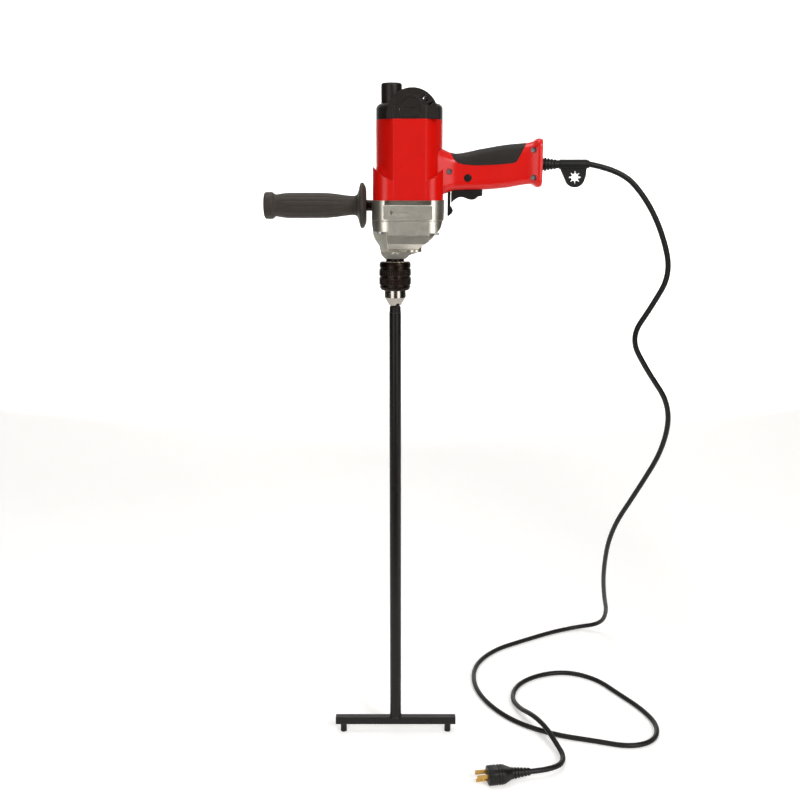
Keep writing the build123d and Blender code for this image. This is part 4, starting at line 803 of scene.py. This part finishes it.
# ---------------------------------------------------------------- chuck sleeve
@dataclass
class ChuckSleeve:
    """The keyed chuck's sleeve: key teeth below, two knurled bands and a rolled shoulder above."""

    # height, radius
    profile: tuple = (
        (706.5, 19.0), (707.6, 20.3), (710.2, 21.9), (711.4, 22.2), (712.4, 22.2), (713.0, 21.3),
        (714.0, 21.3), (714.6, 22.7), (724.6, 22.8), (725.2, 21.6), (726.8, 21.6), (727.4, 22.8),
        (736.6, 22.7), (737.2, 21.4), (738.6, 21.4), (739.4, 22.5), (743.0, 22.5), (745.4, 21.9),
        (746.6, 21.2), (747.0, 20.8),
    )
    # height, radius of the bore, which clears the nose below and the chuck's body above
    bore: tuple = ((706.5, 17.1), (708.4, 16.85), (711.9, 16.85), (711.9, 20.5), (747.0, 20.5))
    teeth: int = 30
    tooth_deep: float = 1.3
    teeth_top: float = 710.0
    ridges: int = 48
    ridge_deep: float = 0.55
    # lower and upper ends of the knurled bands
    bands: tuple = ((715.2, 724.0), (728.0, 736.0))
    # extra rings just below and above each end of the teeth and the bands, which keep them crisp
    crisp: tuple = (709.9, 710.1, 715.1, 715.3, 723.9, 724.1, 727.9, 728.1, 735.9, 736.1)
    steps: int = 4
    round_points: int = 576

    def relief(self, z: float, turn: float) -> float:
        """Depth of the teeth and of the knurled bands at a height and a turn, in millimetres."""
        if z < self.teeth_top:
            return self.tooth_deep * (0.5 + 0.5 * math.tanh(4 * math.cos(self.teeth * turn)))
        if any(low <= z <= high for low, high in self.bands):
            return self.ridge_deep * (0.5 + 0.5 * math.cos(self.ridges * turn)) ** 2
        return 0.0

    def sleeve(self) -> bpy.types.Object:
        """The sleeve's outside, closed by its two end faces round the bore."""
        heights = set(self.crisp)
        for (low, _), (high, _) in zip(self.profile, self.profile[1:]):
            heights.update(low + (high - low) * i / self.steps for i in range(self.steps + 1))
        turns = turns_round(self.round_points)
        rings = [self.level(radius, z, turns) for z, radius in reversed(self.bore)]
        for z in sorted(heights):
            k = max(i for i in range(len(self.profile) - 1) if self.profile[i][0] <= z)
            (low, inner), (high, outer) = self.profile[k], self.profile[k + 1]
            radius = inner + (outer - inner) * (z - low) / (high - low)
            rings.append(
                [
                    Vector((math.cos(t), math.sin(t), 0)) * ((radius - self.relief(z, t)) * MM)
                    + Vector((0, 0, z * MM))
                    for t in turns
                ]
            )
        form = bmesh.new()
        rows = [[form.verts.new(point) for point in ring] for ring in rings]
        for row, following in zip(rows, rows[1:] + rows[:1]):
            for i, corner in enumerate(row):
                after = (i + 1) % len(row)
                form.faces.new((corner, row[after], following[after], following[i]))
        bmesh.ops.recalc_face_normals(form, faces=form.faces)
        return new_piece("chuck_sleeve_knurled", mesh_of(form, "chuck_sleeve_knurled"), 50)

    def level(self, radius: float, z: float, turns: list[float]) -> Ring:
        """A plain circle of points at a height."""
        return [Vector((radius * math.cos(t), radius * math.sin(t), z)) * MM for t in turns]

    def build(self, paint: Paintbox) -> None:
        """Builds and dresses the sleeve."""
        paint.dress_piece(self.sleeve(), "black_oxide", "sleeve", "chuck_sleeve")


# ---------------------------------------------------------------- cord, boot and plug
@dataclass
class CordSet:
    """The mains cord from the handle's boot to its plug."""

    radius: float = 4.0
    exit_mm: tuple = (272.0, 0.0, 882.0)
    lie: float = 4.2
    # distance along X, radius: the tapered and ribbed relief, then the sleeve under the key holder
    boot_profile: tuple = (
        (200.2, 7.9), (203.6, 7.9), (203.7, 10.2), (206.2, 10.2), (207.2, 8.0), (208.4, 8.0),
        (208.9, 9.4), (211.0, 9.2), (211.6, 7.2), (212.8, 7.1), (213.3, 8.5), (215.4, 8.2),
        (216.0, 6.5), (217.2, 6.4), (217.8, 7.7), (219.9, 7.4), (220.5, 6.1), (221.7, 6.0),
        (222.3, 7.0), (224.4, 6.8), (225.0, 5.9), (229.6, 5.7), (230.2, 5.0), (268.2, 5.0),
        (268.6, 5.8), (270.6, 5.7), (271.4, 5.2), (272.0, 4.3),
    )
    boot_points: int = 64
    plug_points: int = 96

    def route(self) -> list[tuple[float, float, float]]:
        """The cord's route: down beside the tool, two loose turns on the floor, then the plug."""
        lie = self.lie
        return [
            self.exit_mm, (316, 0, 874), (352, 0, 838), (380, 2, 788), (397, 5, 729),
            (373, 11, 680), (346, 17, 634), (375, 27, 584), (420, 44, 524), (419, 64, 452),
            (392, 98, 374), (360, 144, 284),
            (365, 205, 186), (382, 262, 110), (398, 304, 62), (396, 338, 20), (352, 356, lie),
            (300, 334, lie), (240, 298, lie), (182, 262, lie), (142, 205, lie), (134, 140, lie),
            (150, 78, lie), (190, 18, lie), (250, -20, lie), (314, -38, lie), (364, -54, lie),
            (406, -38, lie), (422, 6, lie), (408, 56, lie), (380, 104, lie), (352, 154, lie),
            (306, 180, lie), (254, 170, lie), (212, 138, lie), (195, 92, lie), (204, 50, 9),
            (220, 12, 20.5), (236, -22, 20.5), (247, -52, 13), (257, -92, 8.5), (236, -124, 12.6),
            (198, -130, 12.6),
        ]

    def cord(self) -> bpy.types.Object:
        """The cord as one round NURBS curve through its route."""
        curve = bpy.data.curves.new("mains_cord", "CURVE")
        curve.dimensions = "3D"
        curve.resolution_u = 10
        curve.bevel_depth = self.radius * MM
        curve.bevel_resolution = 6
        curve.use_fill_caps = True
        line = curve.splines.new("NURBS")
        points = self.route()
        line.points.add(len(points) - 1)
        for knot, point in zip(line.points, points):
            knot.co = (*[value * MM for value in point], 1.0)
        line.order_u = 3
        line.use_endpoint_u = True
        piece = bpy.data.objects.new("mains_cord", curve)
        bpy.context.scene.collection.objects.link(piece)
        return piece

    def boot(self) -> bpy.types.Object:
        """The ribbed, tapered strain relief."""
        rings = []
        for x, radius in self.boot_profile:
            rings.append(
                [
                    Vector((x, radius * math.cos(t), self.exit_mm[2] + radius * math.sin(t))) * MM
                    for t in turns_round(self.boot_points)
                ]
            )
        return new_piece("cord_strain_relief", mesh_from_rings("cord_strain_relief", rings))

    def plug(self) -> bpy.types.Object:
        """The moulded plug: ribbed relief, waisted grip with ridges, and a flat face."""
        end = Vector(self.route()[-1])
        heading = (end - Vector(self.route()[-2])).normalized()
        across = heading.cross(Vector((0, 0, 1))).normalized()
        # distance, half width, half height, corner
        table = [(0.0, 5.3, 5.3, 5.2)]
        for rib in range(5):
            low, foot, top = 3.4 + rib * 5, 4.5 + rib * 0.5, 6.0 + rib * 0.6
            table += [
                (low, top - 0.3, top - 0.3, top - 0.4),
                (low + 0.3, foot, foot, foot - 0.1),
                (low + 1.8, foot, foot, foot - 0.1),
                (low + 2.1, top, top, top - 0.1),
            ]
        table += [
            (28.6, 8.4, 8.4, 7.6), (32.0, 10.0, 9.2, 7.6), (38.0, 13.0, 11.2, 8.4),
            (43.0, 13.9, 12.1, 8.8), (44.0, 13.9, 12.1, 8.8), (44.6, 13.2, 11.7, 8.6),
            (45.6, 13.2, 11.7, 8.6), (46.2, 13.9, 12.1, 8.8), (48.4, 13.9, 12.1, 8.8),
            (49.0, 13.2, 11.7, 8.6), (50.0, 13.2, 11.7, 8.6), (50.6, 13.9, 12.1, 8.8),
            (62.6, 13.9, 12.1, 8.8), (63.6, 13.6, 11.8, 8.6), (64.0, 12.9, 11.1, 8.0),
        ]
        rings = []
        for along, wide, high, corner in table:
            centre = end + heading * along
            ring = [
                (centre + across * a + Vector((0, 0, 1)) * b) * MM
                for a, b in rounded_outline(wide, high, corner, 8)
            ]
            rings.append(self.even_ring(ring, self.plug_points))
        return new_piece("plug_moulding", mesh_from_rings("plug_moulding", rings))

    def even_ring(self, ring: Ring, count: int) -> Ring:
        """Spreads a ring's points evenly round it.

        Args:
            ring: the closed ring.
            count: points wanted.

        Returns:
            The new ring, starting at the same point.
        """
        lengths = [(b - a).length for a, b in zip(ring, ring[1:] + ring[:1])]
        total = sum(lengths)
        points = []
        side, gone = 0, 0.0
        for i in range(count):
            target = total * i / count
            while gone + lengths[side] < target:
                gone += lengths[side]
                side += 1
            share = (target - gone) / lengths[side]
            points.append(ring[side].lerp(ring[(side + 1) % len(ring)], share))
        return points

    def build(self, paint: Paintbox) -> None:
        plug = self.plug()
        paint.dress_piece(plug, "cord_rubber", "housing", "plug_body")
        cord = self.cord()
        paint.dress_piece(cord, "cord_rubber", "housing", "cord")
        paint.dress_piece(self.boot(), "cord_rubber", "housing", "cord_boot")


# ---------------------------------------------------------------- studio
@dataclass
class Studio:
    """A pale sweep and room, dark cards, soft lights and the camera."""

    floor_tone: str = "#f2f1ef"
    camera_place: tuple = (0.007, -1.409, 0.874)
    camera_tilt: float = 76.8
    lens: float = 44.1

    def paper(self, name: str, tone: str, glow: float) -> bpy.types.Material:
        """Matte backdrop paper.

        Args:
            name: the material's name.
            tone: sRGB hex colour.
            glow: light that it gives off, which keeps it pale away from the lamps.

        Returns:
            The material.
        """
        made = bpy.data.materials.new(name)
        made.use_nodes = True
        shader = made.node_tree.nodes["Principled BSDF"]
        shader.inputs["Base Color"].default_value = linear(tone)
        shader.inputs["Roughness"].default_value = 0.85
        shader.inputs["Emission Color"].default_value = linear(tone)
        shader.inputs["Emission Strength"].default_value = glow
        return made

    def board(
        self, name: str, faces: list, material: bpy.types.Material, hidden: tuple[str, ...]
    ) -> None:
        """A thin board of the studio.

        Args:
            name: the board's name.
            faces: the corners of each face, in metres.
            material: its paper.
            hidden: kinds of ray that don't see it.
        """
        form = bmesh.new()
        for corners in faces:
            form.faces.new([form.verts.new(corner) for corner in corners])
        bmesh.ops.remove_doubles(form, verts=form.verts, dist=1e-5)
        made = new_piece(name, mesh_of(form, name), 60)
        made.data.materials.append(material)
        for kind in hidden:
            setattr(made, "visible_" + kind, False)

    def boards(self) -> None:
        """The floor curving up into a wall, the room round it, and a dark card on each side.

        The metal must mirror the dark between the lamps, so reflections and light leave the room
        out, and the cards, which darken the metal's sides, are hidden from the camera.
        """
        half, near, bend, back, top = 3.4, -0.6, 1.5, 4.0, 5.0
        bend_steps = 12
        line = [(near, 0.0), (back, 0.0)]
        for step in range(1, bend_steps + 1):
            turn = math.radians(90 * step / bend_steps)
            line.append((back + bend * math.sin(turn), bend * (1 - math.cos(turn))))
        line.append((back + bend, top))
        sweep = [
            [(-half, y, z), (half, y, z), (half, after_y, after_z), (-half, after_y, after_z)]
            for (y, z), (after_y, after_z) in zip(line, line[1:])
        ]
        matte = self.paper("matte_backdrop_paper", self.floor_tone, 0.36)
        self.board("studio_sweep", sweep, matte, ())
        far, wall = -5.0, back + bend
        room = [
            [(-half, far, 0), (half, far, 0), (half, near, 0), (-half, near, 0)],
            [(-half, far, 0), (-half, far, top), (half, far, top), (half, far, 0)],
            [(-half, far, 0), (-half, wall, 0), (-half, wall, top), (-half, far, top)],
            [(half, far, 0), (half, far, top), (half, wall, top), (half, wall, 0)],
        ]
        pale = self.paper("pale_room_paper", self.floor_tone, 0.7)
        self.board("studio_room", room, pale, ("glossy", "diffuse", "shadow"))
        felt = self.paper("black_card_felt", "#1a1a1a", 0.0)
        out, front, rear, foot, head = 0.78, -0.45, 0.25, 0.4, 1.35
        for name, x in (("card_left", -out), ("card_right", out)):
            card = [[(x, front, foot), (x, rear, foot), (x, rear, head), (x, front, head)]]
            self.board(name, card, felt, ("camera",))

    def light(
        self,
        name: str,
        place: Point,
        aim: Point,
        size: float,
        power: float,
        tall: float | None = None,
    ) -> None:
        """One soft light, square unless its height is given.

        Args:
            name: the light's name.
            place: where it stands, in metres.
            aim: the point it faces.
            size: its width, in metres.
            power: its power, in watts.
            tall: its height, in metres, or None for a square.
        """
        lamp = bpy.data.lights.new(name, "AREA")
        lamp.shape = "RECTANGLE"
        lamp.size = size
        lamp.size_y = tall or size
        lamp.energy = power
        holder = bpy.data.objects.new(name, lamp)
        holder.location = place
        holder.rotation_euler = (Vector(aim) - Vector(place)).to_track_quat("-Z", "Y").to_euler()
        bpy.context.scene.collection.objects.link(holder)

    def build(self) -> None:
        """Sets up the boards, the lights, the surround and the camera."""
        self.boards()
        target, middle = (0.05, 0.0, 0.75), (0.0, 0.0, 0.7)
        self.light("key_light", (1.3, -2.0, 2.1), target, 0.8, 28)
        self.light("softbox_left", (-0.9, -1.6, 0.7), middle, 1.0, 10.0, 1.3)
        self.light("softbox_right", (1.05, -1.3, 0.7), middle, 0.8, 9.0, 1.3)
        self.light("top_light", (-0.2, 0.1, 2.6), target, 1.0, 14)
        self.light("wall_light_left", (-2.4, 2.4, 1.4), (-1.2, 5.5, 1.6), 1.6, 95)
        self.light("wall_light_right", (2.4, 2.4, 1.4), (1.2, 5.5, 1.6), 1.6, 95)
        world = bpy.data.worlds.new("studio_surround")
        world.use_nodes = True
        tree = world.node_tree
        direction = add_node(tree, "TexCoord", {}, {}).outputs["Generated"]
        upward = add_node(tree, "SeparateXYZ", {}, {0: direction}).outputs["Z"]
        ceiling = add_node(
            tree,
            "MapRange",
            {},
            {"Value": upward, "From Min": 0.05, "From Max": 0.8, "To Min": 0.1, "To Max": 0.55},
        ).outputs[0]
        surround = tree.nodes["Background"]
        surround.inputs["Color"].default_value = linear("#f4f4f4")
        tree.links.new(ceiling, surround.inputs["Strength"])
        scene = bpy.context.scene
        scene.world = world
        scene.view_settings.view_transform = "Standard"
        eye = bpy.data.cameras.new("studio_camera")
        eye.lens = self.lens
        eye.sensor_width = 36.0
        holder = bpy.data.objects.new("studio_camera", eye)
        holder.location = self.camera_place
        holder.rotation_euler = (math.radians(self.camera_tilt), 0, 0)
        scene.collection.objects.link(holder)
        scene.camera = holder


def main() -> None:
    """Builds the studio and every sub-assembly."""
    logging.basicConfig(level=logging.INFO)
    Studio().build()
    paint = Paintbox()
    paint.dress_nodes(frame["record"], frame["nodes"])
    CordSet().build(paint)
    MainHandle().build(paint)
    SideHandle().build(paint)
    ChuckSleeve().build(paint)
    bpy.context.view_layer.update()


if __name__ == "__main__":
    main()
